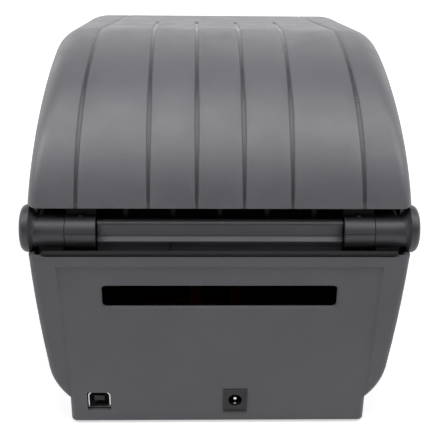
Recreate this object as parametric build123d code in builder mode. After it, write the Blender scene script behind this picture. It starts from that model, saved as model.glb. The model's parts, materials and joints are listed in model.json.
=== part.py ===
from build123d import *
from math import acos, cos, degrees, pi, radians, sin, sqrt, tan
import os

# Desktop label printer with a hinged cover, in millimetres.
# X runs across the printer, +Y points to the rear panel and +Z is up.
# The origin is on the table, under the middle of the whole printer.

os.makedirs("parts", exist_ok=True)

# Driving dimensions of the whole printer
LENGTH = 267.0
BARREL_HALF = 101.0
RIDGE_Z = 190.2
FRONT_Y = -LENGTH / 2
REAR_Y = LENGTH / 2
WALL = 2.5
COVER_WALL = 2.8
SIDES = (-1, 1)
SIDE_NAMES = {-1: "left", 1: "right"}

# Hinge line, and the barrel round it with its wide end caps
HINGE_Y = 120.4
HINGE_Z = 114.7
KNUCKLE_R = 8.35
KNUCKLE_START = 78.7
CAP_Y = 119.8
CAP_Z = 115.9
CAP_R = 12.3
CAP_ROUNDING = 3.4
CAP_FLAT = 1.4
CAP_FLANK = 4.6
COLLAR_START = 63.0
COLLAR_END = 78.4
BAR_HALF = 62.3
BAR_R = 6.75
BAR_WALL = 2.2
SKIRT_Y = 123.2
SKIRT_LOW_Z = 103.6
PIN_R = 3.0
PIN_START = 64.5
PIN_END = 92.0
RUNNING_GAP = 0.05
LIP_R = 15.3
TROUGH_R = 14.7
TROUGH_WALL = 2.0

# Base housing
PLINTH_HALF = 81.0
PLINTH_CORNER = 3.0
PLINTH_EDGE = 1.6
PANEL_HALF_TOP = 83.6
POD_HALF = 96.8
POD_FLOOR_Z = 17.6
POD_REAR_R = 3.5
POD_FRONT_R = 9.0
BASE_BOTTOM_Z = 1.2
REAR_TOP_Z = 106.7
RIM_Z = 101.0
SPLIT_Z = 113.2
SPLIT_BEND_Y = -60.0
SPLIT_LEVEL_Y = -122.0
SPLIT_FRONT_Z = 92.2
SPLIT_GAP = 1.2
PAN_TOP_Z = 3.7

# Cover arch, an ellipse in side view, and the slopes in front of it
RIDGE_Y = 24.8
ARCH_Z = 110.0
ARCH_DEPTH = 102.7
ARCH_HEIGHT = RIDGE_Z - ARCH_Z
TOP_SLOPE = 0.2
SLOPE_START_Y = 16.9
FRONT_SLOPE = 1.881
FRONT_SLOPE_Y = -108.0
FRONT_SLOPE_Z = 152.1
SHOULDER_R = 9.0

# Grooves along the cover, and the recess of the control panel
GROOVE_XS = (-36.3, -11.96, 11.96, 36.3)
GROOVE_WIDTH = 2.5
GROOVE_DEPTH = 0.8
GROOVE_REAR_Y = 140.0
GROOVE_FRONT_Y = -32.7
SIDE_GROOVE_HALF = 1.3
PANEL_Y = -116.0
PANEL_WIDTH = 76.2
PANEL_HEIGHT = 28.2
PANEL_CORNER = 4.1
BUTTON_X = 22.0
BUTTON_R = 6.9
LIGHT_X = -4.0
LIGHT_R = 2.0

# Openings in the walls
PANEL_STEP = 0.8
SLOT_HALF = 60.8
SLOT_LOW_Z = 76.4
SLOT_HIGH_Z = 88.8
SLOT_CORNER = 2.3
SLOT_BEVEL = 0.9
EXIT_HALF = 57.0
EXIT_TOP_Z = 97.0
USB_X = 65.2
USB_Z = 15.15
DC_X = -9.3
DC_Z = 15.6

# Screws, feet, rails and the main board
BOSS_X = 74.6
BOSS_YS = (-118, 96)
BOSS_R = 4.0
SCREW_R = 1.5
FOOT_X = 66.0
FOOT_Y = 112.0
FOOT_R = 7.0
VENT_PITCH = 12
VENT_COUNT = 9
VENT_WIDTH = 3.2
RAIL_YS = (18.5, 46.6)
RAIL_TOP_Z = 5.8
BOARD_Z = 6.6
BOARD_TOP_Z = 8.2

# Power switch in the side of the pod
SWITCH_X = 88.0
SWITCH_Y = 60.0
SWITCH_Z = 45.0

# Media tray, roll trough and deck
CHEEK_IN = 64.0
CHEEK_OUT = 66.5
ROLL_Y = 35.0
ROLL_Z = 80.0
TROUGH_ROLL_R = 65.0
DECK_Z = 72.0
TRAY_TOP_Z = 104.0
SENSOR_X = -27.0
SENSOR_Y = -84.0
PLATEN_Y = -112.0
PLATEN_Z = 84.0
PLATEN_R = 8.0
PLATEN_HALF = 56.0
BUSH_R = 6.0

# Gear train, all wheels of one tooth size in one plane
MODULE = 1.0
PRESSURE = radians(20)
BACKLASH = 0.25
CENTRE_SLACK = 0.1
GEAR_X = 71.0
GEAR_WIDTH = 5.0
LEVER_Y = -52.0
LEVER_Z = 72.0
MOTOR_Y = -95.0
MOTOR_Z = 40.0
MOTOR_TEETH = 12
IDLER_TEETH = 30
PLATEN_TEETH = 22
TAKEUP_TEETH = 30
RIBBON_IDLER_TEETH = 42
AXLE_R = 2.5
STUB_R = 2.0

# Ribbon hubs and printhead, as (Y, Z) of their axes, and the frame's side plates
SUPPLY = (-14.0, 152.0)
TAKEUP = (-62.0, 135.0)
HEAD_PIVOT = (-84.0, 112.0)
PLATE_IN = 67.5
PLATE_OUT = 70.0

# Roll holders and media guides, each pair on racks with one pinion
HOLDER_IN = 9.0
HOLDER_OUT = 16.0
HOLDER_TEETH = 20
HOLDER_RACK_Z = 6.0
HOLDER_RACK_HEIGHT = 3.5
GUIDE_Y = -60.0
GUIDE_IN = 10.0
GUIDE_WALL = 2.5
GUIDE_TEETH = 12
GUIDE_RACK_Z = 62.6
GUIDE_RACK_HEIGHT = 3.8


def save(piece, name):
    """Label a finished piece and write it as a STEP file of the same name."""
    piece.part.label = name
    export_step(piece.part, f"parts/{name}.step")


def block(x_low, x_high, y_low, y_high, z_low, z_high, mode=Mode.ADD):
    """A square-cornered block between two corners, in the part being made."""
    middle = ((x_low + x_high) / 2, (y_low + y_high) / 2, (z_low + z_high) / 2)
    with Locations(middle):
        Box(x_high - x_low, y_high - y_low, z_high - z_low, mode=mode)


def rod(y, z, radius, x_low, x_high, mode=Mode.ADD):
    """A round bar or hole along X, in the part being made."""
    with BuildSketch(Plane.YZ.offset(x_low)) as disc:
        with Locations((y, z)):
            Circle(radius)
    extrude(disc.sketch, amount=x_high - x_low, mode=mode)


def side_rod(side, y, z, radius, near, far, mode=Mode.ADD):
    """A round bar or hole along X on one side, between two distances from the middle."""
    x_low, x_high = sorted((side * near, side * far))
    rod(y, z, radius, x_low, x_high, mode)


def side_block(side, near, far, y_low, y_high, z_low, z_high, mode=Mode.ADD):
    """A block on one side, between two distances from the middle."""
    x_low, x_high = sorted((side * near, side * far))
    block(x_low, x_high, y_low, y_high, z_low, z_high, mode)


def plate_along_x(outline, x_low, x_high, mode=Mode.ADD, rounding=0):
    """A flat plate between two X planes, from its outline in side view."""
    with BuildSketch(Plane.YZ.offset(x_low)) as shape:
        with BuildLine():
            Polyline(*outline, close=True)
        make_face()
        if rounding:
            fillet(shape.vertices(), rounding)
    extrude(shape.sketch, amount=x_high - x_low, mode=mode)


def half_tooth_angle(teeth, radius):
    """Half the angle that a gear tooth fills at a radius, in radians."""
    pitch_r = MODULE * teeth / 2
    base_r = pitch_r * cos(PRESSURE)
    spread = tan(PRESSURE) - PRESSURE
    if radius > base_r:
        pressure_here = acos(base_r / radius)
        spread -= tan(pressure_here) - pressure_here
    return pi / (2 * teeth) + spread - BACKLASH / (4 * pitch_r)


def gear_outline(teeth, centre, first_tooth):
    """Corner points of a spur gear, the first tooth at an angle in degrees."""
    pitch_r = MODULE * teeth / 2
    radii = (pitch_r - 1.25 * MODULE, pitch_r, pitch_r + MODULE)
    points = []
    for tooth in range(teeth):
        middle = radians(first_tooth) + 2 * pi * tooth / teeth
        flank = [(radius, half_tooth_angle(teeth, radius)) for radius in radii]
        corners = [(radius, middle - half) for radius, half in flank]
        corners += [(radius, middle + half) for radius, half in reversed(flank)]
        points += [(centre[0] + r * cos(a), centre[1] + r * sin(a)) for r, a in corners]
    return points


def gear_along_x(teeth, centre, first_tooth, x_low, bore_r, hub_r, hub_x):
    """A spur gear with a lightened web and a hub, turning on an axis along X."""
    pitch_r = MODULE * teeth / 2
    rim_r = pitch_r - 3.2 * MODULE
    with BuildPart() as gear:
        with BuildSketch(Plane.YZ.offset(x_low)):
            with BuildLine():
                Polyline(*gear_outline(teeth, centre, first_tooth), close=True)
            make_face()
        extrude(amount=GEAR_WIDTH)
        rod(*centre, hub_r, min(hub_x, x_low), x_low + GEAR_WIDTH)
        if rim_r > hub_r + 3:
            with BuildSketch(Plane.YZ.offset(x_low + GEAR_WIDTH)):
                with Locations(centre):
                    Circle(rim_r)
                    Circle(hub_r + 0.8, mode=Mode.SUBTRACT)
            extrude(amount=-GEAR_WIDTH * 0.5, mode=Mode.SUBTRACT)
        rod(*centre, bore_r, hub_x - 1, x_low + GEAR_WIDTH + 1, Mode.SUBTRACT)
    return gear


def meshing_centre(start, goal, distance):
    """The point at a distance from start, on the line to goal."""
    reach = sqrt((goal[0] - start[0]) ** 2 + (goal[1] - start[1]) ** 2)
    step_y = (goal[0] - start[0]) / reach
    step_z = (goal[1] - start[1]) / reach
    return (start[0] + distance * step_y, start[1] + distance * step_z)


def heading(start, goal):
    """The angle in degrees of the line from start to goal."""
    run = goal[0] - start[0]
    rise = goal[1] - start[1]
    angle = degrees(acos(run / sqrt(run * run + rise * rise)))
    return angle if rise >= 0 else -angle


# Base housing

def pod_section(inset, top_z, floor_z):
    """Cross-section of the base from the front, with its bulging side pods."""
    for side in SIDES:
        with BuildLine() as outline:
            corner = (side * (81.4 - inset), floor_z)
            knee = (side * (91.3 - inset), 40.0)
            shoulder = (side * (POD_HALF - inset), 108.0)
            Line((0, floor_z), corner)
            ThreePointArc(corner, (side * (87.7 - inset), 26.5 + inset / 2), knee)
            ThreePointArc(knee, (side * (94.7 - inset), 73.0), shoulder)
            Polyline(shoulder, (side * (POD_HALF - inset), top_z), (0, top_z), (0, floor_z))
        make_face(outline.edges())


with BuildPart() as pod_cavity:
    with BuildSketch(Plane.XZ.offset(WALL - REAR_Y)):
        pod_section(WALL, 120.0, POD_FLOOR_Z + WALL)
    extrude(amount=LENGTH - 2 * WALL)
    cavity_ends = pod_cavity.edges().filter_by(lambda edge: abs(edge.center().X) > 82)
    fillet(cavity_ends.filter_by(lambda edge: edge.center().Y < FRONT_Y + WALL + 1), POD_FRONT_R - WALL)

with BuildPart() as base_housing:
    with BuildSketch(Plane.XZ.offset(-REAR_Y)):
        pod_section(0, 112.0, POD_FLOOR_Z)
    extrude(amount=LENGTH)
    pod_ends = base_housing.edges().filter_by(lambda edge: abs(edge.center().X) > 85)
    fillet(pod_ends.filter_by(lambda edge: edge.center().Y > REAR_Y - 1), POD_REAR_R)
    front_ends = base_housing.edges().filter_by(lambda edge: abs(edge.center().X) > 85)
    fillet(front_ends.filter_by(lambda edge: edge.center().Y < FRONT_Y + 1), POD_FRONT_R)
    with BuildSketch(Plane.XY.offset(BASE_BOTTOM_Z)) as plinth:
        Rectangle(2 * PLINTH_HALF, LENGTH - 2 * PANEL_STEP)
        fillet(plinth.vertices(), PLINTH_CORNER)
    extrude(amount=POD_FLOOR_Z + 1 - BASE_BOTTOM_Z)
    fillet(base_housing.faces().sort_by(Axis.Z)[0].edges(), PLINTH_EDGE)
    # The rear panel is set back between the pods, with a bevel all round
    with BuildSketch(Plane.XZ.offset(-REAR_Y)):
        with BuildLine():
            Polyline(
                (-PLINTH_HALF - PANEL_STEP / 2, 0), (PLINTH_HALF + PANEL_STEP / 2, 0),
                (PANEL_HALF_TOP, RIM_Z), (-PANEL_HALF_TOP, RIM_Z), close=True,
            )
        make_face()
    extrude(amount=PANEL_STEP, taper=45, mode=Mode.SUBTRACT)
    # The cavity is open above and below
    add(pod_cavity.part, mode=Mode.SUBTRACT)
    block(
        -PLINTH_HALF + WALL, PLINTH_HALF - WALL, FRONT_Y + WALL, REAR_Y - WALL,
        0, POD_FLOOR_Z + 2 * WALL, Mode.SUBTRACT,
    )
    # Trough that the hinge barrel lies in, closed to the inside
    with BuildSketch(Plane.YZ.offset(-POD_HALF + WALL)):
        with BuildLine():
            start = (HINGE_Y + TROUGH_R * cos(radians(-40)), HINGE_Z + TROUGH_R * sin(radians(-40)))
            end = (HINGE_Y + TROUGH_R * cos(radians(-150)), HINGE_Z + TROUGH_R * sin(radians(-150)))
            outer_r = TROUGH_R + TROUGH_WALL
            low = (HINGE_Y + outer_r * cos(radians(-40)), HINGE_Z + outer_r * sin(radians(-40)))
            far = (HINGE_Y + outer_r * cos(radians(-150)), HINGE_Z + outer_r * sin(radians(-150)))
            ThreePointArc(start, (HINGE_Y, HINGE_Z - TROUGH_R), end)
            Line(end, far)
            ThreePointArc(far, (HINGE_Y, HINGE_Z - outer_r), low)
            Line(low, start)
        make_face()
    extrude(amount=2 * (POD_HALF - WALL))
    # Everything above the split line goes, and the barrel gets its bed
    plate_along_x(
        (
            (150, REAR_TOP_Z), (104, REAR_TOP_Z), (104, SPLIT_Z - SPLIT_GAP),
            (SPLIT_BEND_Y, SPLIT_Z - SPLIT_GAP), (SPLIT_LEVEL_Y, SPLIT_FRONT_Z - SPLIT_GAP),
            (FRONT_Y - 10, SPLIT_FRONT_Z - SPLIT_GAP), (FRONT_Y - 10, 140), (150, 140),
        ),
        -110, 110, Mode.SUBTRACT,
    )
    rod(CAP_Y, CAP_Z, CAP_R + RUNNING_GAP, -110, 110, Mode.SUBTRACT)
    # Fan-fold slot with rounded corners and a bevelled edge
    with BuildSketch(Plane.XZ.offset(-REAR_Y - 1)) as slot_shape:
        with Locations((0, (SLOT_LOW_Z + SLOT_HIGH_Z) / 2)):
            Rectangle(2 * SLOT_HALF, SLOT_HIGH_Z - SLOT_LOW_Z)
        fillet(slot_shape.vertices(), SLOT_CORNER)
    extrude(amount=8, mode=Mode.SUBTRACT)
    with BuildSketch(Plane.XZ.offset(PANEL_STEP - REAR_Y)) as bevel_shape:
        with Locations((0, (SLOT_LOW_Z + SLOT_HIGH_Z) / 2)):
            Rectangle(2 * (SLOT_HALF + SLOT_BEVEL), SLOT_HIGH_Z - SLOT_LOW_Z + 2 * SLOT_BEVEL)
        fillet(bevel_shape.vertices(), SLOT_CORNER + SLOT_BEVEL)
    extrude(amount=SLOT_BEVEL, taper=45, mode=Mode.SUBTRACT)
    with BuildSketch(Plane.XZ.offset(-REAR_Y - 1)):
        with Locations((USB_X, USB_Z + 0.05)):
            Rectangle(13, 11.8)
        with Locations((DC_X, DC_Z - 0.25)):
            Rectangle(13.2, 15.7)
    extrude(amount=8, mode=Mode.SUBTRACT)
    # Notches for the release levers
    for side in SIDES:
        side_block(side, 90, 110, LEVER_Y - 19, LEVER_Y + 7, 92, 120, Mode.SUBTRACT)
    # Window for the power switch
    block(86, 110, SWITCH_Y - 10, SWITCH_Y + 10, SWITCH_Z - 7, SWITCH_Z + 7, Mode.SUBTRACT)
    # Screw bosses along the plinth
    with Locations(*[(side * BOSS_X, y, 9.85) for side in SIDES for y in BOSS_YS]):
        Cylinder(BOSS_R, 12.3)
        Cylinder(SCREW_R, 14, mode=Mode.SUBTRACT)
save(base_housing, "base_housing")

# Bottom pan with vents, rails for the racks and bosses for the board
with BuildPart() as bottom_pan:
    block(-78.4, 78.4, FRONT_Y + WALL + 0.1, REAR_Y - WALL - 0.1, BASE_BOTTOM_Z, PAN_TOP_Z)
    with BuildSketch(Plane.XY.offset(0)):
        for vent_y, vent_length in ((-70, 34), (85, 22)):
            with Locations((0, vent_y)):
                with GridLocations(VENT_PITCH, VENT_PITCH, VENT_COUNT, 1):
                    SlotOverall(vent_length, VENT_WIDTH, rotation=90)
    extrude(amount=5, mode=Mode.SUBTRACT)
    for rail_y in RAIL_YS:
        block(-60, 60, rail_y, rail_y + 5, PAN_TOP_Z, RAIL_TOP_Z)
    with Locations((0, ROLL_Y, PAN_TOP_Z)):
        Cylinder(STUB_R, 6, align=(Align.CENTER, Align.CENTER, Align.MIN))
    with Locations(*[(x, y, PAN_TOP_Z) for x in (-54, 56) for y in (110, 126)]):
        Cylinder(3, BOARD_Z - PAN_TOP_Z, align=(Align.CENTER, Align.CENTER, Align.MIN))
    with Locations(*[(side * FOOT_X, y, BASE_BOTTOM_Z) for side in SIDES for y in (-FOOT_Y, FOOT_Y)]):
        Cylinder(FOOT_R + 0.1, 1, align=(Align.CENTER, Align.CENTER, Align.MIN), mode=Mode.SUBTRACT)
    with Locations(*[(side * BOSS_X, y, BASE_BOTTOM_Z) for side in SIDES for y in BOSS_YS]):
        Cylinder(3.3, 1.5, align=(Align.CENTER, Align.CENTER, Align.MIN), mode=Mode.SUBTRACT)
        Cylinder(SCREW_R + 0.1, 5, mode=Mode.SUBTRACT)
save(bottom_pan, "bottom_pan")

for side in SIDES:
    for end_name, foot_y in (("front", -FOOT_Y), ("rear", FOOT_Y)):
        with BuildPart() as foot:
            with Locations((side * FOOT_X, foot_y, 0)):
                Cylinder(FOOT_R, BASE_BOTTOM_Z + 1, align=(Align.CENTER, Align.CENTER, Align.MIN))
            chamfer(foot.faces().sort_by(Axis.Z)[0].edges(), 0.6)
        save(foot, f"foot_{end_name}_{SIDE_NAMES[side]}")

with BuildPart() as base_screws:
    with Locations(*[(side * BOSS_X, y, BASE_BOTTOM_Z + 0.1) for side in SIDES for y in BOSS_YS]):
        Cylinder(3, 1.4, align=(Align.CENTER, Align.CENTER, Align.MIN))
        Cylinder(SCREW_R, 10, align=(Align.CENTER, Align.CENTER, Align.MIN))
save(base_screws, "base_screws")

# Media tray: cheeks, rear wall, roll trough and label deck in one moulding
with BuildPart() as media_tray:
    with BuildSketch(Plane.YZ.offset(-CHEEK_OUT)):
        with BuildLine():
            front_angle = radians(215)
            outer_r = TROUGH_ROLL_R + WALL
            lip_in = (ROLL_Y + TROUGH_ROLL_R * cos(front_angle), ROLL_Z + TROUGH_ROLL_R * sin(front_angle))
            lip_out = (ROLL_Y + outer_r * cos(front_angle), ROLL_Z + outer_r * sin(front_angle))
            Line((ROLL_Y + TROUGH_ROLL_R, TRAY_TOP_Z), (ROLL_Y + TROUGH_ROLL_R, ROLL_Z))
            ThreePointArc(
                (ROLL_Y + TROUGH_ROLL_R, ROLL_Z), (ROLL_Y, ROLL_Z - TROUGH_ROLL_R), lip_in,
            )
            Polyline(lip_in, (-36.5, DECK_Z), (-100, DECK_Z), (-100, DECK_Z - WALL))
            Polyline((-100, DECK_Z - WALL), (-37.9, DECK_Z - WALL), lip_out)
            ThreePointArc(lip_out, (ROLL_Y, ROLL_Z - outer_r), (ROLL_Y + outer_r, ROLL_Z))
            Polyline(
                (ROLL_Y + outer_r, ROLL_Z), (ROLL_Y + outer_r, TRAY_TOP_Z),
                (ROLL_Y + TROUGH_ROLL_R, TRAY_TOP_Z),
            )
        make_face()
    extrude(amount=2 * CHEEK_OUT)
    cheek = (
        (102.5, TRAY_TOP_Z), (60, TRAY_TOP_Z), (20, 96), (-70, 96), (-104, 94), (-120, 94), (-121, 78),
        (-121, PAN_TOP_Z), (102.5, PAN_TOP_Z),
    )
    for side in SIDES:
        x_low, x_high = sorted((side * CHEEK_IN, side * CHEEK_OUT))
        plate_along_x(cheek, x_low, x_high)
        side_rod(side, PLATEN_Y, PLATEN_Z, BUSH_R, CHEEK_IN - 1, CHEEK_OUT + 1, Mode.SUBTRACT)
        side_rod(side, 60, 40, 16, CHEEK_IN - 1, CHEEK_OUT + 1, Mode.SUBTRACT)
    rod(MOTOR_Y, MOTOR_Z, 11, CHEEK_IN - 1, CHEEK_OUT + 1, Mode.SUBTRACT)
    # Window behind the fan-fold slot, and the slots that the holders and guides slide in
    block(-62, 62, 86, 104, 46, 91, Mode.SUBTRACT)
    block(-63, 63, ROLL_Y - 9.6, ROLL_Y + 9.6, 8, 20, Mode.SUBTRACT)
    block(-60, 60, -64, -56, 68, 74, Mode.SUBTRACT)
    # Bridge under the deck with the post that the guide pinion turns on
    block(-9, 9, -75, -45, 59.4, 61.6)
    for wall_y in (-75, -47):
        block(-9, 9, wall_y, wall_y + 2, 61.6, DECK_Z - WALL)
    with Locations((0, -60, 61.6)):
        Cylinder(STUB_R, 5, align=(Align.CENTER, Align.CENTER, Align.MIN))
    block(SENSOR_X - 4, SENSOR_X + 4, SENSOR_Y - 4, SENSOR_Y + 4, 68, 74, Mode.SUBTRACT)
save(media_tray, "media_tray")

with BuildPart() as label_sensor:
    block(SENSOR_X - 4, SENSOR_X + 4, SENSOR_Y - 4, SENSOR_Y + 4, 68.5, DECK_Z + 0.8)
    fillet(label_sensor.faces().sort_by(Axis.Z)[-1].edges(), 0.7)
save(label_sensor, "label_sensor")

# Front bezel that carries the label out, and the tear bar on its edge
with BuildPart() as front_bezel:
    plate_along_x(
        (
            (-122.5, 76), (-122.5, 88.6), (-124.5, 90.4), (-130.9, 90.4), (-130.9, 76),
            (-128.4, 76), (-128.4, 87.6), (-125, 87.6), (-125, 76),
        ),
        -CHEEK_IN, CHEEK_IN,
    )
    for rib_x in range(-48, 49, 16):
        block(rib_x - 0.75, rib_x + 0.75, -128.4, -125, 76, 87.6)
save(front_bezel, "front_bezel")

with BuildPart() as tear_bar:
    pitch = 2.0
    with BuildSketch(Plane.XY.offset(90.4)):
        with BuildLine():
            saw = [(-PLATEN_HALF, -126.5)]
            for tooth in range(round(2 * PLATEN_HALF / pitch)):
                x_tooth = pitch * tooth - PLATEN_HALF
                saw += [(x_tooth, -129.6), (x_tooth + pitch / 2, -130.8)]
            saw += [(PLATEN_HALF, -129.6), (PLATEN_HALF, -126.5)]
            Polyline(*saw, close=True)
        make_face()
    extrude(amount=0.8)
save(tear_bar, "tear_bar")

# Platen roller, its shaft and bushes
for side in SIDES:
    with BuildPart() as platen_bush:
        side_rod(side, PLATEN_Y, PLATEN_Z, BUSH_R, CHEEK_IN, CHEEK_OUT + 1)
        side_rod(side, PLATEN_Y, PLATEN_Z, 7.4, CHEEK_IN - 1.5, CHEEK_IN)
        side_rod(side, PLATEN_Y, PLATEN_Z, PIN_R + RUNNING_GAP, 60, 70, Mode.SUBTRACT)
    save(platen_bush, f"platen_bush_{SIDE_NAMES[side]}")

with BuildPart() as platen_roller:
    rod(PLATEN_Y, PLATEN_Z, PLATEN_R, -PLATEN_HALF, PLATEN_HALF)
    fillet(platen_roller.edges(), 0.6)
    rod(PLATEN_Y, PLATEN_Z, PIN_R, -57, 57, Mode.SUBTRACT)
save(platen_roller, "platen_roller")

with BuildPart() as platen_shaft:
    rod(PLATEN_Y, PLATEN_Z, PIN_R, -70, 77.5)
    chamfer(platen_shaft.edges(), 0.5)
save(platen_shaft, "platen_shaft")

# Gear train from the motor to the platen
motor_centre = (MOTOR_Y, MOTOR_Z)
platen_centre = (PLATEN_Y, PLATEN_Z)
idler_reach = MODULE * (MOTOR_TEETH + IDLER_TEETH) / 2 + CENTRE_SLACK
idler_centre = meshing_centre(motor_centre, platen_centre, idler_reach)
line_up = heading(motor_centre, platen_centre)

motor_pinion = gear_along_x(MOTOR_TEETH, motor_centre, line_up, GEAR_X, AXLE_R, 4.5, 67.5)
save(motor_pinion, "motor_pinion")
idler_gear = gear_along_x(
    IDLER_TEETH, idler_centre, line_up + 180 + 180 / IDLER_TEETH, GEAR_X,
    AXLE_R + RUNNING_GAP, 5, 67,
)
save(idler_gear, "idler_gear")
idler_tooth_up = line_up + 180 + 180 / IDLER_TEETH
tooth_step = 360 / IDLER_TEETH
nearest = idler_tooth_up + tooth_step * round((line_up - idler_tooth_up) / tooth_step)
mesh_shift = (nearest - line_up) * IDLER_TEETH / PLATEN_TEETH
platen_gear = gear_along_x(
    PLATEN_TEETH, platen_centre, line_up + 180 + 180 / PLATEN_TEETH - mesh_shift, GEAR_X,
    PIN_R, 5.5, 68,
)
save(platen_gear, "platen_gear")

with BuildPart() as idler_axle:
    rod(*idler_centre, AXLE_R, CHEEK_OUT, 77)
    rod(*idler_centre, 3.6, 76.3, 77.3)
save(idler_axle, "idler_axle")

with BuildPart() as motor_shaft:
    rod(MOTOR_Y, MOTOR_Z, AXLE_R, 56, 77)
save(motor_shaft, "motor_shaft")

# Stepper motor: laminated square body between two end caps
with BuildPart() as stepper_motor:
    for x_low, x_high, half, corner in ((36, 43, 17.5, 4), (43, 57, 16.8, 5), (57, CHEEK_IN, 17.5, 4)):
        with BuildSketch(Plane.YZ.offset(x_low)) as ring:
            with Locations((MOTOR_Y, MOTOR_Z)):
                Rectangle(2 * half, 2 * half)
            chamfer(ring.vertices(), corner)
        extrude(amount=x_high - x_low)
    rod(MOTOR_Y, MOTOR_Z, AXLE_R + RUNNING_GAP, 55, 70, Mode.SUBTRACT)
save(stepper_motor, "stepper_motor")

# Main board with the sockets on its rear edge
with BuildPart() as main_board:
    block(-60, 70, 106, 129, BOARD_Z, BOARD_TOP_Z)
    for x_low, x_high, y_low, y_high, height in (
        (-44, -24, 108, 124, 2.2), (12, 26, 110, 124, 1.8), (36, 44, 110, 126, 6.8),
    ):
        block(x_low, x_high, y_low, y_high, BOARD_TOP_Z, BOARD_TOP_Z + height)
    with Locations(*[(x, 116, BOARD_TOP_Z) for x in (-54, -19.6, 32)]):
        Cylinder(3.2, 9, align=(Align.CENTER, Align.CENTER, Align.MIN))
save(main_board, "main_board")

with BuildPart() as usb_shell:
    with BuildSketch(Plane.XZ.offset(-113)) as shell_shape:
        with Locations((USB_X, USB_Z)):
            Rectangle(12, 10.9)
        chamfer(shell_shape.vertices().group_by(Axis.Y)[-1], 2.2)
        offset(amount=-0.5, mode=Mode.SUBTRACT)
    extrude(amount=-17.6)
save(usb_shell, "usb_shell")

with BuildPart() as usb_tongue:
    block(USB_X - 5.4, USB_X + 5.4, 111.5, 113, BOARD_TOP_Z, 18.4)
    block(USB_X - 5, USB_X + 5, 113, 119, 10.3, 17)
    block(USB_X - 2.8, USB_X + 2.8, 119, 129.6, 13.6, 16.8)
    block(USB_X - 5.4, USB_X + 5.4, 113, 129, BOARD_TOP_Z, 9.7)
save(usb_tongue, "usb_tongue")

with BuildPart() as power_inlet:
    block(DC_X - 6.1, DC_X + 6.1, 117, 132.7, BOARD_TOP_Z, 22.7)
    fillet(power_inlet.edges().filter_by(Axis.Y).group_by(Axis.Z)[-1], 0.8)
    with BuildSketch(Plane.XZ.offset(-132.7)):
        with Locations((DC_X, DC_Z)):
            Circle(3.85)
    extrude(amount=11, mode=Mode.SUBTRACT)
save(power_inlet, "power_inlet")

with BuildPart() as inlet_pin:
    with BuildSketch(Plane.XZ.offset(-121.7)):
        with Locations((DC_X, DC_Z)):
            Circle(1.05)
    extrude(amount=-9.4)
    fillet(inlet_pin.faces().sort_by(Axis.Y)[-1].edges(), 0.5)
save(inlet_pin, "inlet_pin")

# Power switch, its rocker turning on two stub pins
with BuildPart() as switch_body:
    block(76, 90.6, SWITCH_Y - 9.7, SWITCH_Y + 9.7, SWITCH_Z - 6.7, SWITCH_Z + 6.7)
    block(79, 95, SWITCH_Y - 9.4, SWITCH_Y + 9.4, SWITCH_Z - 5.5, SWITCH_Z + 5.5, Mode.SUBTRACT)
    with Locations((SWITCH_X, SWITCH_Y, SWITCH_Z)):
        Cylinder(1 + RUNNING_GAP, 12.6, mode=Mode.SUBTRACT)
save(switch_body, "switch_body")

with BuildPart() as power_rocker:
    with BuildSketch(Plane.XY.offset(SWITCH_Z - 5.1)):
        with BuildLine():
            Polyline(
                (SWITCH_X - 2.4, SWITCH_Y - 6.5), (SWITCH_X + 2.6, SWITCH_Y - 8),
                (SWITCH_X + 2.9, SWITCH_Y), (SWITCH_X + 5.2, SWITCH_Y + 8),
                (SWITCH_X - 1.2, SWITCH_Y + 6.5), close=True,
            )
        make_face()
    extrude(amount=10.2)
    with Locations((SWITCH_X, SWITCH_Y, SWITCH_Z)):
        Cylinder(1, 12.4)
save(power_rocker, "power_rocker")

# Hinge: knuckles on the base, each with a wide rounded end cap, and their pins
for side in SIDES:
    with BuildPart() as knuckle:
        with BuildSketch(Plane.XY.offset(CAP_Z)):
            with BuildLine():
                end_x = side * BARREL_HALF
                round_x = side * (BARREL_HALF - CAP_ROUNDING)
                flat_x = side * (BARREL_HALF - CAP_ROUNDING - CAP_FLAT)
                neck_x = side * (BARREL_HALF - CAP_ROUNDING - CAP_FLAT - CAP_FLANK)
                rim_y = CAP_Y + CAP_R
                neck_y = CAP_Y + KNUCKLE_R - 1.4
                corner_step = CAP_ROUNDING * (1 - sin(pi / 4))
                Polyline((end_x, rim_y - CAP_ROUNDING), (end_x, CAP_Y), (neck_x, CAP_Y), (neck_x, neck_y))
                ThreePointArc(
                    (neck_x, neck_y), (flat_x - side * CAP_FLANK * 0.38, rim_y - 3.2), (flat_x, rim_y),
                )
                Line((flat_x, rim_y), (round_x, rim_y))
                ThreePointArc(
                    (round_x, rim_y), (end_x - side * corner_step, rim_y - corner_step),
                    (end_x, rim_y - CAP_ROUNDING),
                )
            make_face()
        revolve(axis=Axis((0, CAP_Y, CAP_Z), (1, 0, 0)))
        side_rod(side, HINGE_Y, HINGE_Z, KNUCKLE_R, KNUCKLE_START, BARREL_HALF - CAP_ROUNDING)
        # Saddle that stands in the trough
        side_block(side, 80, PIN_END, HINGE_Y - 6, HINGE_Y + 6, HINGE_Z - 13.4, HINGE_Z - 6)
        side_rod(side, HINGE_Y, HINGE_Z, PIN_R, PIN_START, PIN_END, Mode.SUBTRACT)
    save(knuckle, f"hinge_knuckle_{SIDE_NAMES[side]}")
    with BuildPart() as hinge_pin:
        side_rod(side, HINGE_Y, HINGE_Z, PIN_R, PIN_START, PIN_END)
        chamfer(hinge_pin.edges(), 0.5)
    save(hinge_pin, f"hinge_pin_{SIDE_NAMES[side]}")


# Cover

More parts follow.
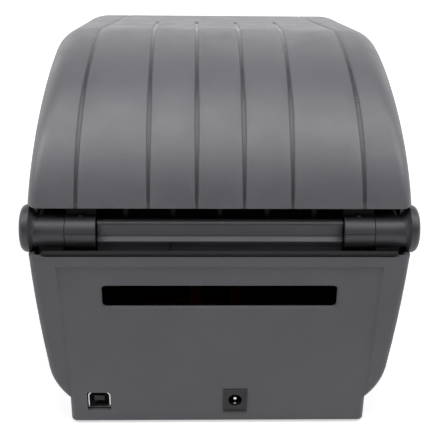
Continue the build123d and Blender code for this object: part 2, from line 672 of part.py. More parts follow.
def slope_corner(inset):
    """Where the top slope meets the front slope in side view, inset by a wall."""
    top_at_zero = RIDGE_Z - TOP_SLOPE * SLOPE_START_Y - inset * sqrt(1 + TOP_SLOPE ** 2)
    front_at_zero = FRONT_SLOPE_Z - FRONT_SLOPE * FRONT_SLOPE_Y - inset * sqrt(1 + FRONT_SLOPE ** 2)
    y = (top_at_zero - front_at_zero) / (FRONT_SLOPE - TOP_SLOPE)
    return (y, top_at_zero + TOP_SLOPE * y)


def cover_volume(inset, shoulder):
    """The cover's outer form, or the space inside it when inset by the wall."""
    top_corner = slope_corner(inset)
    face_y = FRONT_Y + inset
    front_at_zero = FRONT_SLOPE_Z - FRONT_SLOPE * FRONT_SLOPE_Y - inset * sqrt(1 + FRONT_SLOPE ** 2)
    brow = (face_y, front_at_zero + FRONT_SLOPE * face_y)
    ridge_corner_y = SLOPE_START_Y - inset * 0.1
    with BuildPart() as volume:
        with BuildSketch(Plane.YZ.offset(-110)) as side_view:
            with BuildLine():
                EllipticalCenterArc(
                    (RIDGE_Y, ARCH_Z), ARCH_DEPTH - inset, ARCH_HEIGHT - inset,
                    start_angle=0, arc_size=90,
                )
                Polyline(
                    (RIDGE_Y, RIDGE_Z - inset), (ridge_corner_y, RIDGE_Z - inset), top_corner, brow,
                    (face_y, 75), (RIDGE_Y + ARCH_DEPTH - inset, 75), (RIDGE_Y + ARCH_DEPTH - inset, ARCH_Z),
                )
            make_face()
            for corner, radius in (
                ((ridge_corner_y, RIDGE_Z - inset), 70), (top_corner, 35 - inset), (brow, 18 - inset),
            ):
                fillet(side_view.vertices().sort_by_distance(corner)[0], radius)
        extrude(amount=220)
        with BuildSketch(Plane.XZ.offset(-160)):
            for side in SIDES:
                with BuildLine():
                    low = (side * (98.9 - inset), 70)
                    high = (side * (88.1 - inset), 200)
                    ThreePointArc(low, (side * (95.3 - inset), 150), high)
                    Polyline(high, (0, 200), (0, 70), low)
                make_face()
        extrude(amount=320, mode=Mode.INTERSECT)
        corners = volume.edges().filter_by(lambda edge: abs(edge.center().X) > 80)
        fillet(corners.filter_by(lambda edge: edge.center().Z > 76), shoulder)
    return volume.part


cover_outside = cover_volume(0, SHOULDER_R)
cover_inside = cover_volume(COVER_WALL, SHOULDER_R - COVER_WALL)
groove_limit = cover_volume(GROOVE_DEPTH, SHOULDER_R - GROOVE_DEPTH)

with BuildPart() as groove_cutter:
    with BuildSketch(Plane.XY.offset(80)):
        for groove_x in GROOVE_XS:
            with Locations((groove_x, (GROOVE_REAR_Y + GROOVE_FRONT_Y) / 2)):
                SlotOverall(GROOVE_REAR_Y - GROOVE_FRONT_Y, GROOVE_WIDTH, rotation=90)
        for side in SIDES:
            with BuildLine():
                inner_x = -SIDE_GROOVE_HALF
                outer_x = SIDE_GROOVE_HALF
                rear = (73.4, GROOVE_REAR_Y)
                middle = (66.6, 25)
                front = (57.0, -90)
                ThreePointArc(*[(side * (x + inner_x), y) for x, y in (rear, middle, front)])
                Polyline(
                    (side * (57 + inner_x), -90), (side * (57 + inner_x), -140),
                    (side * (57 + outer_x), -140), (side * (57 + outer_x), -90),
                )
                ThreePointArc(*[(side * (x + outer_x), y) for x, y in (front, middle, rear)])
                Line((side * (73.4 + outer_x), GROOVE_REAR_Y), (side * (73.4 + inner_x), GROOVE_REAR_Y))
            make_face()
    extrude(amount=120)
    add(groove_limit, mode=Mode.SUBTRACT)

PANEL_Z = FRONT_SLOPE_Z + FRONT_SLOPE * (PANEL_Y - FRONT_SLOPE_Y)
slope_angle = radians(62.0)
panel_plane = Plane(
    origin=(0, PANEL_Y, PANEL_Z), x_dir=(1, 0, 0), z_dir=(0, -sin(slope_angle), cos(slope_angle)),
)

with BuildPart() as cover_shell:
    add(cover_outside)
    add(cover_inside, mode=Mode.SUBTRACT)
    add(groove_cutter.part, mode=Mode.SUBTRACT)
    # The lower edge follows the split line and clears the hinge barrel
    plate_along_x(
        (
            (FRONT_Y - 10, 60), (FRONT_Y - 10, SPLIT_FRONT_Z), (SPLIT_LEVEL_Y, SPLIT_FRONT_Z),
            (SPLIT_BEND_Y, SPLIT_Z), (112, SPLIT_Z), (HINGE_Y, HINGE_Z), (150, HINGE_Z), (150, 60),
        ),
        -110, 110, Mode.SUBTRACT,
    )
    rod(HINGE_Y, HINGE_Z, LIP_R, -110, 110, Mode.SUBTRACT)
    block(-EXIT_HALF, EXIT_HALF, FRONT_Y - 5, FRONT_Y + 8, 80, EXIT_TOP_Z, Mode.SUBTRACT)
    with BuildSketch(panel_plane.offset(-8)) as window:
        Rectangle(PANEL_WIDTH + 0.2, PANEL_HEIGHT + 0.2)
        fillet(window.vertices(), PANEL_CORNER + 0.1)
    extrude(amount=16, mode=Mode.SUBTRACT)
save(cover_shell, "cover_shell")

with BuildPart() as control_panel:
    with BuildSketch(panel_plane.offset(-3.2)) as plate:
        Rectangle(PANEL_WIDTH, PANEL_HEIGHT)
        fillet(plate.vertices(), PANEL_CORNER)
    extrude(amount=2.6)
    with BuildSketch(panel_plane.offset(-4.8)) as flange:
        Rectangle(PANEL_WIDTH + 5.8, PANEL_HEIGHT + 5.8)
        fillet(flange.vertices(), PANEL_CORNER + 0.9)
    extrude(amount=1.6)
    with BuildSketch(panel_plane.offset(-6)):
        with Locations((BUTTON_X, 0)):
            Circle(BUTTON_R + 0.3)
        with Locations((LIGHT_X, 0)):
            Circle(LIGHT_R)
    extrude(amount=8, mode=Mode.SUBTRACT)
save(control_panel, "control_panel")

with BuildPart() as feed_button:
    with BuildSketch(panel_plane.offset(-3)):
        with Locations((BUTTON_X, 0)):
            Circle(BUTTON_R)
    extrude(amount=3.6)
    fillet(feed_button.faces().sort_by(Axis.Z)[-1].edges(), 0.7)
    with BuildSketch(panel_plane.offset(-6.4)):
        with Locations((BUTTON_X, 0)):
            Circle(3)
    extrude(amount=3.5)
save(feed_button, "feed_button")

with BuildPart() as status_light:
    with BuildSketch(panel_plane.offset(-4.8)):
        with Locations((LIGHT_X, 0)):
            Circle(LIGHT_R)
    extrude(amount=4.5)
    with BuildSketch(panel_plane.offset(-6)):
        with Locations((LIGHT_X, 0)):
            Circle(LIGHT_R + 1)
    extrude(amount=1.2)
save(status_light, "status_light")

# Bar between the collars: a round bead with a flat skirt set back below it
with BuildPart() as hinge_bar:
    with BuildSketch(Plane.YZ.offset(-BAR_HALF)):
        with Locations((HINGE_Y, HINGE_Z)):
            Circle(BAR_R)
        with BuildLine():
            Polyline(
                (SKIRT_Y - 1.8, HINGE_Z), (SKIRT_Y, HINGE_Z), (SKIRT_Y, SKIRT_LOW_Z),
                (SKIRT_Y - 1.8, SKIRT_LOW_Z), close=True,
            )
        make_face()
        with Locations((HINGE_Y, HINGE_Z)):
            Circle(BAR_R - BAR_WALL, mode=Mode.SUBTRACT)
    extrude(amount=2 * BAR_HALF)
save(hinge_bar, "hinge_bar")

# Frame inside the cover: side plates, beams, hinge collars and pins for the ribbon hubs
ribbon_reach = MODULE * (TAKEUP_TEETH + RIBBON_IDLER_TEETH) / 2 + CENTRE_SLACK
ribbon_idler_centre = meshing_centre(TAKEUP, platen_centre, ribbon_reach)
ribbon_line = heading(TAKEUP, platen_centre)

with BuildPart() as cover_frame:
    plate_outline = (
        (112, 138), (84, 158), (40, 172), (-20, 172), (-62, 162), (-97, 146), (-97, 112), (-72, 110),
        (-44, 122), (30, 136), (86, 124), (100, 118), (112, 118),
    )
    for side in SIDES:
        x_low, x_high = sorted((side * PLATE_IN, side * PLATE_OUT))
        plate_along_x(plate_outline, x_low, x_high, rounding=3)
        collar_low, collar_high = sorted((side * COLLAR_START, side * COLLAR_END))
        plate_along_x(
            ((100, 118), (112.5, 112), (120, 120), (118, 127), (112, 138), (100, 138)),
            collar_low, collar_high,
        )
        side_rod(side, HINGE_Y, HINGE_Z, KNUCKLE_R, COLLAR_START, COLLAR_END)
        for post_y, post_foot, post_top in ((60, 150, 183.2), (-60, 153, 172.6)):
            side_block(side, PLATE_IN, PLATE_IN + 6, post_y - 4, post_y + 4, post_foot, post_top)
    block(-PLATE_IN, PLATE_IN, 98, 106, 124, 140)
    block(-PLATE_IN, PLATE_IN, 102, 112, 126, 129)
    # Web and ribs that carry the bar between the collars
    block(2 - BAR_HALF, BAR_HALF - 2, 109.5, 112, 114, 129)
    for rib_x in range(-48, 49, 24):
        block(rib_x - 1.2, rib_x + 1.2, 110, 118, 116, 127)
    block(-PLATE_IN, PLATE_IN, -96, -86, 118, 121)
    block(-PLATE_IN, PLATE_IN, -96, -93.5, 118, 132)
    block(-PLATE_IN, PLATE_IN, -42, -32, 160, 162.5)
    block(-PLATE_IN, PLATE_IN, 36, 60, 164, 166.5)
    rod(HINGE_Y, HINGE_Z, BAR_R + 0.02, -BAR_HALF, BAR_HALF, Mode.SUBTRACT)
    rod(HINGE_Y, HINGE_Z, PIN_R + RUNNING_GAP, -90, 90, Mode.SUBTRACT)
    for side in SIDES:
        # Ears for the printhead pivot
        plate_low, plate_high = sorted((side * 60.4, side * 63))
        plate_along_x(((-92, 119), (-76, 119), (-79, 107.5), (-89, 107.5)), plate_low, plate_high)
        side_block(side, 60.4, PLATE_IN + 1, -86.5, -76, 118, 121)
        side_rod(side, *HEAD_PIVOT, STUB_R, 57.6, 61)
        side_rod(side, *SUPPLY, STUB_R, 54, PLATE_IN + 1)
        # Catch that the release lever's hook reaches over
        side_block(side, PLATE_OUT - 0.5, 83.6, LEVER_Y + 10, LEVER_Y + 14, 111.5, 116)
        side_block(side, PLATE_OUT - 0.5, 72, LEVER_Y + 10, LEVER_Y + 22, 111.5, 136)
    side_rod(-1, *TAKEUP, STUB_R, 54, PLATE_IN + 1)
    rod(*TAKEUP, 4 + RUNNING_GAP, PLATE_IN - 1, PLATE_OUT + 1, Mode.SUBTRACT)
save(cover_frame, "cover_frame")


def ribbon_hub(side, centre, bore_r, shaft_end):
    """Hub that carries one end of a ribbon core: a flange and a ribbed spigot."""
    with BuildPart() as hub:
        side_rod(side, *centre, 15, 64.6, 66.2)
        side_rod(side, *centre, 6, 54.5, 64.6)
        for rib in range(3):
            angle = radians(90 + 120 * rib)
            middle = (centre[0] + 5.5 * cos(angle), centre[1] + 5.5 * sin(angle))
            side_rod(side, *middle, 1.6, 56, 64.6)
        if shaft_end:
            side_rod(side, *centre, 4, 64, shaft_end)
        if bore_r:
            side_rod(side, *centre, bore_r, 50, 70, Mode.SUBTRACT)
    return hub


pin_bore = STUB_R + RUNNING_GAP
for side in SIDES:
    supply_hub = ribbon_hub(side, SUPPLY, pin_bore, 0)
    save(supply_hub, f"supply_hub_{SIDE_NAMES[side]}")
takeup_left = ribbon_hub(-1, TAKEUP, pin_bore, 0)
save(takeup_left, "takeup_hub_left")
takeup_right = ribbon_hub(1, TAKEUP, 0, 76.5)
save(takeup_right, "takeup_hub_right")

takeup_gear = gear_along_x(TAKEUP_TEETH, TAKEUP, ribbon_line, GEAR_X, 4, 6, GEAR_X)
save(takeup_gear, "takeup_gear")
ribbon_idler = gear_along_x(
    RIBBON_IDLER_TEETH, ribbon_idler_centre, ribbon_line + 180 + 180 / RIBBON_IDLER_TEETH, GEAR_X,
    pin_bore, 5, GEAR_X,
)
save(ribbon_idler, "ribbon_idler_gear")
with BuildPart() as ribbon_idler_axle:
    rod(*ribbon_idler_centre, STUB_R, PLATE_OUT, 76.8)
    rod(*ribbon_idler_centre, 3.2, 76.3, 77.3)
save(ribbon_idler_axle, "ribbon_idler_axle")

# Printhead on its pivoting bracket, and the leaf spring over it
with BuildPart() as printhead_bracket:
    plate_along_x(
        (
            (-81, 114), (-87, 115), (-92, 109), (-100, 103.8), (-124, 103.8), (-124, 102.3),
            (-99.5, 102.3), (-90.5, 107.5), (-86, 109), (-81, 110),
        ),
        -58.2, 58.2,
    )
    for side in SIDES:
        side_rod(side, *HEAD_PIVOT, 4, 58.2, 60)
    rod(*HEAD_PIVOT, pin_bore, -64, 64, Mode.SUBTRACT)
    block(-54, 54, -94, -80, 105, 120, Mode.SUBTRACT)
save(printhead_bracket, "printhead_bracket")

with BuildPart() as printhead:
    block(-PLATEN_HALF, PLATEN_HALF, -123, -101, 94, 102.3)
    for fin in range(5):
        fin_y = -120.5 + 4.2 * fin
        block(-PLATEN_HALF, PLATEN_HALF, fin_y, fin_y + 2, 97.5, 102.3, Mode.SUBTRACT)
    block(-PLATEN_HALF, PLATEN_HALF, -123, -104, 92.6, 94)
save(printhead, "printhead")

with BuildPart() as leaf_spring:
    plate_along_x(
        (
            (-88, 118), (-96, 118), (-104, 112), (-112, 107.6), (-112, 107.1), (-103.7, 111.4),
            (-95.8, 117.5), (-88, 117.5),
        ),
        -30, 30,
    )
save(leaf_spring, "leaf_spring")

# Release levers in the base and their pivots
for side in SIDES:
    with BuildPart() as latch_pivot:
        side_rod(side, LEVER_Y, LEVER_Z, AXLE_R, CHEEK_OUT, 88)
        side_rod(side, LEVER_Y, LEVER_Z, 4, CHEEK_OUT, 79.5)
    save(latch_pivot, f"latch_pivot_{SIDE_NAMES[side]}")
    with BuildPart() as latch_lever:
        x_low, x_high = sorted((side * 80, side * 84))
        plate_along_x(
            (
                (LEVER_Y - 4.5, 66.5), (LEVER_Y + 4.5, 66.5), (LEVER_Y + 4.5, 116.5),
                (LEVER_Y + 8.2, 117.5), (LEVER_Y + 5.5, 122.5), (LEVER_Y - 3, 122.5), (LEVER_Y - 4.5, 119),
            ),
            x_low, x_high, rounding=1.2,
        )
        side_block(side, 83, 99.6, LEVER_Y - 9, LEVER_Y + 2, 97, 108)
        fillet(latch_lever.edges().filter_by(lambda edge: abs(edge.center().X) > 99.5), 1.5)
        # Shield that closes the notch behind the thumb pad
        side_block(side, 86, 88, LEVER_Y - 21, LEVER_Y + 14, 90.5, 111)
        side_rod(side, LEVER_Y, LEVER_Z, AXLE_R + RUNNING_GAP, 78, 90, Mode.SUBTRACT)
    save(latch_lever, f"latch_lever_{SIDE_NAMES[side]}")


# Roll holders and media guides: each pair slides on racks that one pinion drives

def turned(side, middle_y, x, y):
    """A point of the right-hand slider, turned half way round for the left-hand one."""
    return (side * x, middle_y + side * y)


def rack_outline(side, middle_y, pitch_r, tail, head, back):
    """Corner points of a rack whose teeth face the pinion."""
    pitch = pi * MODULE
    line = pitch_r + CENTRE_SLACK
    quarter = pitch / 4 - BACKLASH / 2
    root = line + 1.25 * MODULE
    tip = line - MODULE
    root_half = quarter + 1.25 * MODULE * tan(PRESSURE)
    tip_half = quarter - MODULE * tan(PRESSURE)
    first = round((tail + 2.5) / pitch)
    last = int((head - 2.5) / pitch)
    points = [(tail, back), (tail, root)]
    for gap in range(first, last):
        centre = (gap + 0.5) * pitch
        points += [(centre - root_half, root), (centre - tip_half, tip)]
        points += [(centre + tip_half, tip), (centre + root_half, root)]
    points += [(head, root), (head, back)]
    return [turned(side, middle_y, x, y) for x, y in points]


def turned_block(side, middle_y, x_low, x_high, y_low, y_high, z_low, z_high):
    """A block of a slider, turned half way round for the left-hand one."""
    corner_a = turned(side, middle_y, x_low, y_low)
    corner_b = turned(side, middle_y, x_high, y_high)
    x_pair = sorted((corner_a[0], corner_b[0]))
    y_pair = sorted((corner_a[1], corner_b[1]))
    block(*x_pair, *y_pair, z_low, z_high)


holder_pitch_r = MODULE * HOLDER_TEETH / 2
for side in SIDES:
    with BuildPart() as roll_holder:
        x_low, x_high = sorted((side * HOLDER_IN, side * HOLDER_OUT))
        with BuildSketch(Plane.YZ.offset(x_low)):
            with Locations((ROLL_Y, 53)):
                Rectangle(18, 76)
            with Locations((ROLL_Y, 88)):
                Circle(9)
        extrude(amount=HOLDER_OUT - HOLDER_IN)
        # Hollow back with a centre rib
        for y_low, y_high in ((ROLL_Y - 7, ROLL_Y - 0.8), (ROLL_Y + 0.8, ROLL_Y + 7)):
            side_block(side, 11.5, 17, y_low, y_high, 22, 72, Mode.SUBTRACT)
        side_rod(side, ROLL_Y, ROLL_Z, 3, 3, 9.5)
        turned_block(side, ROLL_Y, HOLDER_IN, HOLDER_OUT, -9, 17, 9.9, 12.5)
        turned_block(side, ROLL_Y, HOLDER_IN, HOLDER_OUT, -9, 9, 12.4, 16)
        with BuildSketch(Plane.XY.offset(HOLDER_RACK_Z)):
            with BuildLine():
                Polyline(*rack_outline(side, ROLL_Y, holder_pitch_r, -50, HOLDER_OUT, 17), close=True)
            make_face()
        extrude(amount=HOLDER_RACK_HEIGHT)
        turned_block(side, ROLL_Y, -50, HOLDER_OUT, 12.4, 17, 9, 12.5)
    save(roll_holder, f"roll_holder_{SIDE_NAMES[side]}")
    with BuildPart() as roll_hub:
        side_rod(side, ROLL_Y, ROLL_Z, 17, 7, 8.6)
        side_rod(side, ROLL_Y, ROLL_Z, 12.2, 3.2, 7)
        side_rod(side, ROLL_Y, ROLL_Z, 9.5, 3.2, 5, Mode.SUBTRACT)
        side_rod(side, ROLL_Y, ROLL_Z, 5, 3.2, 7)
        side_rod(side, ROLL_Y, ROLL_Z, 3 + RUNNING_GAP, 2, 9, Mode.SUBTRACT)
    save(roll_hub, f"roll_hub_{SIDE_NAMES[side]}")

with BuildPart() as holder_pinion:
    with BuildSketch(Plane.XY.offset(HOLDER_RACK_Z)):
        with BuildLine():
            Polyline(*gear_outline(HOLDER_TEETH, (0, ROLL_Y), 90), close=True)
        make_face()
        with Locations((0, ROLL_Y)):
            Circle(pin_bore, mode=Mode.SUBTRACT)
    extrude(amount=HOLDER_RACK_HEIGHT)
save(holder_pinion, "holder_pinion")

guide_pitch_r = MODULE * GUIDE_TEETH / 2
for side in SIDES:
    with BuildPart() as media_guide:
        x_low, x_high = sorted((side * GUIDE_IN, side * (GUIDE_IN + GUIDE_WALL)))
        plate_along_x(
            ((-72, 72.4), (-48, 72.4), (-48, 78), (-52, 84), (-68, 84), (-72, 80)), x_low, x_high,
        )
        side_block(side, GUIDE_IN, 22, -66, -54, 72.4, 74)
        turned_block(side, GUIDE_Y, GUIDE_IN, 18, -3.4, 3.4, 66.6, 72.5)
        turned_block(side, GUIDE_Y, GUIDE_IN, 18, -3.4, 11, 66.9, 69)
        with BuildSketch(Plane.XY.offset(GUIDE_RACK_Z)):
            with BuildLine():
                Polyline(*rack_outline(side, GUIDE_Y, guide_pitch_r, -50, 18, 11), close=True)
            make_face()
        extrude(amount=GUIDE_RACK_HEIGHT)
        turned_block(side, GUIDE_Y, -50, 18, 8.2, 11, 66, 69)
    save(media_guide, f"media_guide_{SIDE_NAMES[side]}")

with BuildPart() as guide_pinion:
    with BuildSketch(Plane.XY.offset(GUIDE_RACK_Z)):
        with BuildLine():
            Polyline(*gear_outline(GUIDE_TEETH, (0, GUIDE_Y), 90), close=True)
        make_face()
        with Locations((0, GUIDE_Y)):
            Circle(pin_bore, mode=Mode.SUBTRACT)
    extrude(amount=GUIDE_RACK_HEIGHT)
save(guide_pinion, "guide_pinion")
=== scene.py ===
"""Looks of a desktop label printer with a hinged cover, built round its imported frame.

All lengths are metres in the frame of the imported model: +X is the printer's right seen from
the front, +Y points to the rear panel and +Z is up. Angles are in degrees where a name says so.
"""

import json
import logging
import math
from bisect import bisect_right
from collections.abc import Sequence
from dataclasses import dataclass, field
from enum import Enum

import bmesh
import bpy
from mathutils import Matrix, Vector

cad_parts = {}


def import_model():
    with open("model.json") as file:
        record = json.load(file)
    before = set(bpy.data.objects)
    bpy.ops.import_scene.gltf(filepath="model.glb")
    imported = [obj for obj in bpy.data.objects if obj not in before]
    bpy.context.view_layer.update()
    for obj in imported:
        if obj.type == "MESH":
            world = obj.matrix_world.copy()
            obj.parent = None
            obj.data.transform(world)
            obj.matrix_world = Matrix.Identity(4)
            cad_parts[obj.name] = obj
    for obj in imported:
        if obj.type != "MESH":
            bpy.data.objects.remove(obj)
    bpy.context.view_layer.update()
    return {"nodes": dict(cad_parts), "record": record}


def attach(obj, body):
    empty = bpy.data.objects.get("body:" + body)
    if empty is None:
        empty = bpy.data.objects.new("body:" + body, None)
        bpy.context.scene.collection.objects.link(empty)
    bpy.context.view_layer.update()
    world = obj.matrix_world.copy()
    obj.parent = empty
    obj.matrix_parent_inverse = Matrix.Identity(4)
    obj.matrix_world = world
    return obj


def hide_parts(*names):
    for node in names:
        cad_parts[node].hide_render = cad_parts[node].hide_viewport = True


LOG = logging.getLogger("label_printer")

Point = tuple[float, float]
Spot = tuple[float, float, float]
Colour = tuple[float, float, float]
Socket = bpy.types.NodeSocket
Piece = bpy.types.Object
SIDES = (-1, 1)
HINGE_AXIS: Point = (0.1204, 0.1147)


class Body(str, Enum):
    """The moving bodies that new pieces ride on."""

    BASE = "base"
    COVER = "cover"
    ROCKER = "power_rocker"


class Stretch(Enum):
    """How a grain is drawn out, as the scale of the noise along X, Y and Z."""

    EVEN = (1.0, 1.0, 1.0)
    ALONG_X = (0.04, 1.0, 1.0)


def held(value: float) -> float:
    """The value held between 0 and 1."""
    return min(1.0, max(0.0, value))


def shade(colour: Colour, factor: float) -> Colour:
    """A colour made lighter or darker by a factor."""
    return tuple(min(1.0, channel * factor) for channel in colour)


# Finishes


class NodeTree:
    """Short calls for filling one node tree."""

    def __init__(self, tree: bpy.types.NodeTree) -> None:
        """Take a tree and empty it.

        Args:
            tree: The tree of a material or a world.
        """
        self.tree = tree
        self.tree.nodes.clear()

    def link(self, source: Socket, target: Socket) -> None:
        """Join two sockets."""
        self.tree.links.new(source, target)

    def add(self, kind: str, **settings: object) -> bpy.types.Node:
        """Add a node.

        Args:
            kind: Node type without its "ShaderNode" start.
            settings: Attributes of the node.

        Returns:
            The new node.
        """
        node = self.tree.nodes.new("ShaderNode" + kind)
        for key, value in settings.items():
            setattr(node, key, value)
        return node

    def feed(self, node: bpy.types.Node, socket: str | int, value: object) -> None:
        """Link a socket into an input, or set the input to a plain value.

        Args:
            node: The node.
            socket: Name or number of its input.
            value: Another node's socket, or the plain value.
        """
        if isinstance(value, Socket):
            self.link(value, node.inputs[socket])
        else:
            node.inputs[socket].default_value = value

    def spread(self, value: Socket, low: float, high: float, start: float = 0.3,
               end: float = 0.7, curve: str = "LINEAR") -> Socket:
        """Map a range of a value onto a new range.

        Args:
            value: The value to map.
            low: Result at the start of the range.
            high: Result at its end.
            start: Where the range starts.
            end: Where the range ends.
            curve: How the result runs from low to high.

        Returns:
            The mapped value.
        """
        node = self.add("MapRange", interpolation_type=curve)
        self.link(value, node.inputs["Value"])
        limits = {"From Min": start, "From Max": end, "To Min": low, "To Max": high}
        for name, number in limits.items():
            self.feed(node, name, number)
        return node.outputs["Result"]

    def combine(self, operation: str, first: object, second: object) -> Socket:
        """Combine two numbers with a Math node.

        Args:
            operation: What the node does.
            first: Number or socket.
            second: Number or socket.

        Returns:
            The result.
        """
        node = self.add("Math", operation=operation)
        self.feed(node, 0, first)
        self.feed(node, 1, second)
        return node.outputs[0]


class Sheet(NodeTree):
    """The node tree of a new material with a Principled shader."""

    def __init__(self, name: str) -> None:
        """Start the material.

        Args:
            name: Its name.
        """
        self.material = bpy.data.materials.new(name)
        self.material.use_nodes = True
        super().__init__(self.material.node_tree)
        self.output = self.add("OutputMaterial")
        self.shader = self.add("BsdfPrincipled")
        self.link(self.shader.outputs["BSDF"], self.output.inputs["Surface"])

    def set(self, name: str, value: object) -> None:
        """Give the shader one of its inputs."""
        self.feed(self.shader, name, value)

    def place(self, stretch: Stretch = Stretch.EVEN) -> Socket:
        """Object coordinates in metres, drawn out along one axis.

        Args:
            stretch: How the coordinates are scaled.

        Returns:
            The socket with the coordinates.
        """
        mapping = self.add("Mapping")
        self.link(self.add("TexCoord").outputs["Object"], mapping.inputs["Vector"])
        self.feed(mapping, "Scale", stretch.value)
        return mapping.outputs["Vector"]

    def noise(self, place: Socket, size: float, detail: float = 2.0) -> Socket:
        """Noise with features of about one size.

        Args:
            place: The coordinates.
            size: Size of a feature.
            detail: Octaves of finer noise.

        Returns:
            The noise value, from 0 to 1.
        """
        node = self.add("TexNoise")
        self.link(place, node.inputs["Vector"])
        self.feed(node, "Scale", 1.0 / size)
        self.feed(node, "Detail", detail)
        return node.outputs["Fac"]

    def mix(self, amount: object, first: object, second: object) -> Socket:
        """Mix two colours.

        Args:
            amount: Share of the second colour.
            first: Colour or socket.
            second: Colour or socket.

        Returns:
            The mixed colour.
        """
        node = self.add("Mix", data_type="RGBA")
        self.feed(node, 0, amount)
        for index, colour in ((6, first), (7, second)):
            self.feed(node, index, colour if isinstance(colour, Socket) else (*colour, 1.0))
        return node.outputs[2]

    def bump(self, height: Socket, depth: float) -> None:
        """Raise the surface by a height map.

        Args:
            height: Height from 0 to 1.
            depth: Height of the relief.
        """
        node = self.add("Bump")
        self.link(height, node.inputs["Height"])
        self.feed(node, "Distance", depth)
        self.feed(node, "Strength", 1.0)
        self.set("Normal", node.outputs["Normal"])


@dataclass(frozen=True)
class Finish:
    """A finish of one material slot, made when it is first asked for."""

    name: str
    colour: Colour

    def material(self) -> bpy.types.Material:
        """Give the finish's material, which isn't the plain one that the frame brings.

        Returns:
            The material, made once.
        """
        title = f"{self.name}_finish"
        made = bpy.data.materials.get(title)
        if made:
            return made
        sheet = Sheet(title)
        self.paint(sheet)
        return sheet.material

    def paint(self, sheet: Sheet) -> None:
        """Fill the material's tree. Each kind of finish has its own way."""
        raise NotImplementedError


@dataclass(frozen=True)
class MouldedPlastic(Finish):
    """Moulded plastic with a spark-eroded grain, faint flow marks and handling shine."""

    roughness: float = 0.5
    grain: float = 0.0007
    relief: float = 0.00004
    contrast: float = 0.06
    specular: float = 0.5
    flow_size: float = 0.045
    handled_size: float = 0.012
    fleck_share: float = 0.30
    fleck: float = 1.35
    shine: float = 0.05
    sparkle: float = 0.03

    def paint(self, sheet: Sheet) -> None:
        """Paint the grained plastic.

        Args:
            sheet: The material's tree.
        """
        place = sheet.place()
        fine = sheet.noise(place, self.grain, detail=3.0)
        flow = sheet.noise(place, self.flow_size)
        handled = sheet.noise(place, self.handled_size, detail=4.0)
        dull, bright = (shade(self.colour, 1 + sign * self.contrast) for sign in SIDES)
        tone = sheet.mix(sheet.spread(flow, 0.0, 1.0), dull, bright)
        flecks = sheet.spread(fine, 0.0, self.fleck_share)
        sheet.set("Base Color", sheet.mix(flecks, tone, shade(self.colour, self.fleck)))
        shine = sheet.spread(handled, self.roughness - self.shine, self.roughness + self.shine)
        sparkle = sheet.spread(fine, -self.sparkle, self.sparkle)
        sheet.set("Roughness", sheet.combine("ADD", shine, sparkle))
        sheet.set("Specular IOR Level", self.specular)
        sheet.bump(sheet.spread(fine, 0.0, 1.0, start=0.25, end=0.75), self.relief)


@dataclass(frozen=True)
class Worn(Finish):
    """A surface with specks in its colour and fine marks in its shine.

    Specks and marks are given by their size and their noise's detail.
    """

    roughness: float
    specks: Point
    speck_range: Point
    speck_share: float
    tints: Point
    marks: Point
    shine: Point
    relief: float
    stretch: Stretch = Stretch.ALONG_X
    metallic: float = 0.0
    transmission: float = 0.0

    def paint(self, sheet: Sheet) -> None:
        """Paint the specks and the marks.

        Args:
            sheet: The material's tree.
        """
        marks = sheet.noise(sheet.place(self.stretch), *self.marks)
        specks = sheet.noise(sheet.place(), *self.specks)
        share = sheet.spread(specks, 0.0, self.speck_share, *self.speck_range)
        tones = (shade(self.colour, tint) for tint in self.tints)
        sheet.set("Base Color", sheet.mix(share, *tones))
        sheet.set("Roughness", sheet.spread(marks, *(self.roughness + more for more in self.shine)))
        sheet.set("Metallic", self.metallic)
        sheet.set("Transmission Weight", self.transmission)
        sheet.bump(marks, self.relief)


@dataclass(frozen=True)
class GlossPlastic(Worn):
    """Polished plastic with hairline scratches and a little dust."""

    specks: Point = (0.0012, 5.0)
    speck_range: Point = (0.55, 0.8)
    speck_share: float = 0.10
    tints: Point = (1.0, 2.2)
    marks: Point = (0.004, 3.0)
    shine: Point = (0.0, 0.10)
    relief: float = 0.000008


@dataclass(frozen=True)
class Rubber(Worn):
    """Soft rubber with a ground, slightly dusty surface."""

    specks: Point = (0.006, 5.0)
    speck_range: Point = (0.45, 0.75)
    speck_share: float = 0.5
    tints: Point = (1.0, 2.0)
    marks: Point = (0.0005, 4.0)
    shine: Point = (-0.1, 0.05)
    relief: float = 0.00003


@dataclass(frozen=True)
class BareMetal(Worn):
    """Bare or plated metal with tool marks drawn out along X."""

    specks: Point = (0.008, 4.0)
    speck_range: Point = (0.3, 0.7)
    speck_share: float = 1.0
    tints: Point = (0.88, 1.06)
    marks: Point = (0.0004, 4.0)
    shine: Point = (-0.07, 0.10)
    relief: float = 0.00001
    metallic: float = 1.0


@dataclass(frozen=True)
class ZincSheet(Finish):
    """Zinc plated sheet metal with its faint cloudy spangle."""

    roughness: Point = (0.31, 0.50)
    tints: Point = (0.9, 1.12)
    spangles: float = 260.0
    spangle_reach: float = 0.8
    cloud_size: float = 0.010
    cloud_share: float = 0.6
    relief: float = 0.00002

    def paint(self, sheet: Sheet) -> None:
        """Paint the plated sheet.

        Args:
            sheet: The material's tree.
        """
        place = sheet.place()
        cells = sheet.add("TexVoronoi")
        sheet.link(place, cells.inputs["Vector"])
        sheet.feed(cells, "Scale", self.spangles)
        cloud = sheet.noise(place, self.cloud_size, detail=4.0)
        tones = (shade(self.colour, tint) for tint in self.tints)
        share = sheet.spread(cloud, 0.0, self.cloud_share)
        sheet.set("Base Color", sheet.mix(share, *tones))
        sheet.set("Metallic", 1.0)
        sheet.set("Roughness", sheet.spread(cells.outputs["Distance"], *self.roughness,
                                            start=0.0, end=self.spangle_reach))
        sheet.bump(cloud, self.relief)


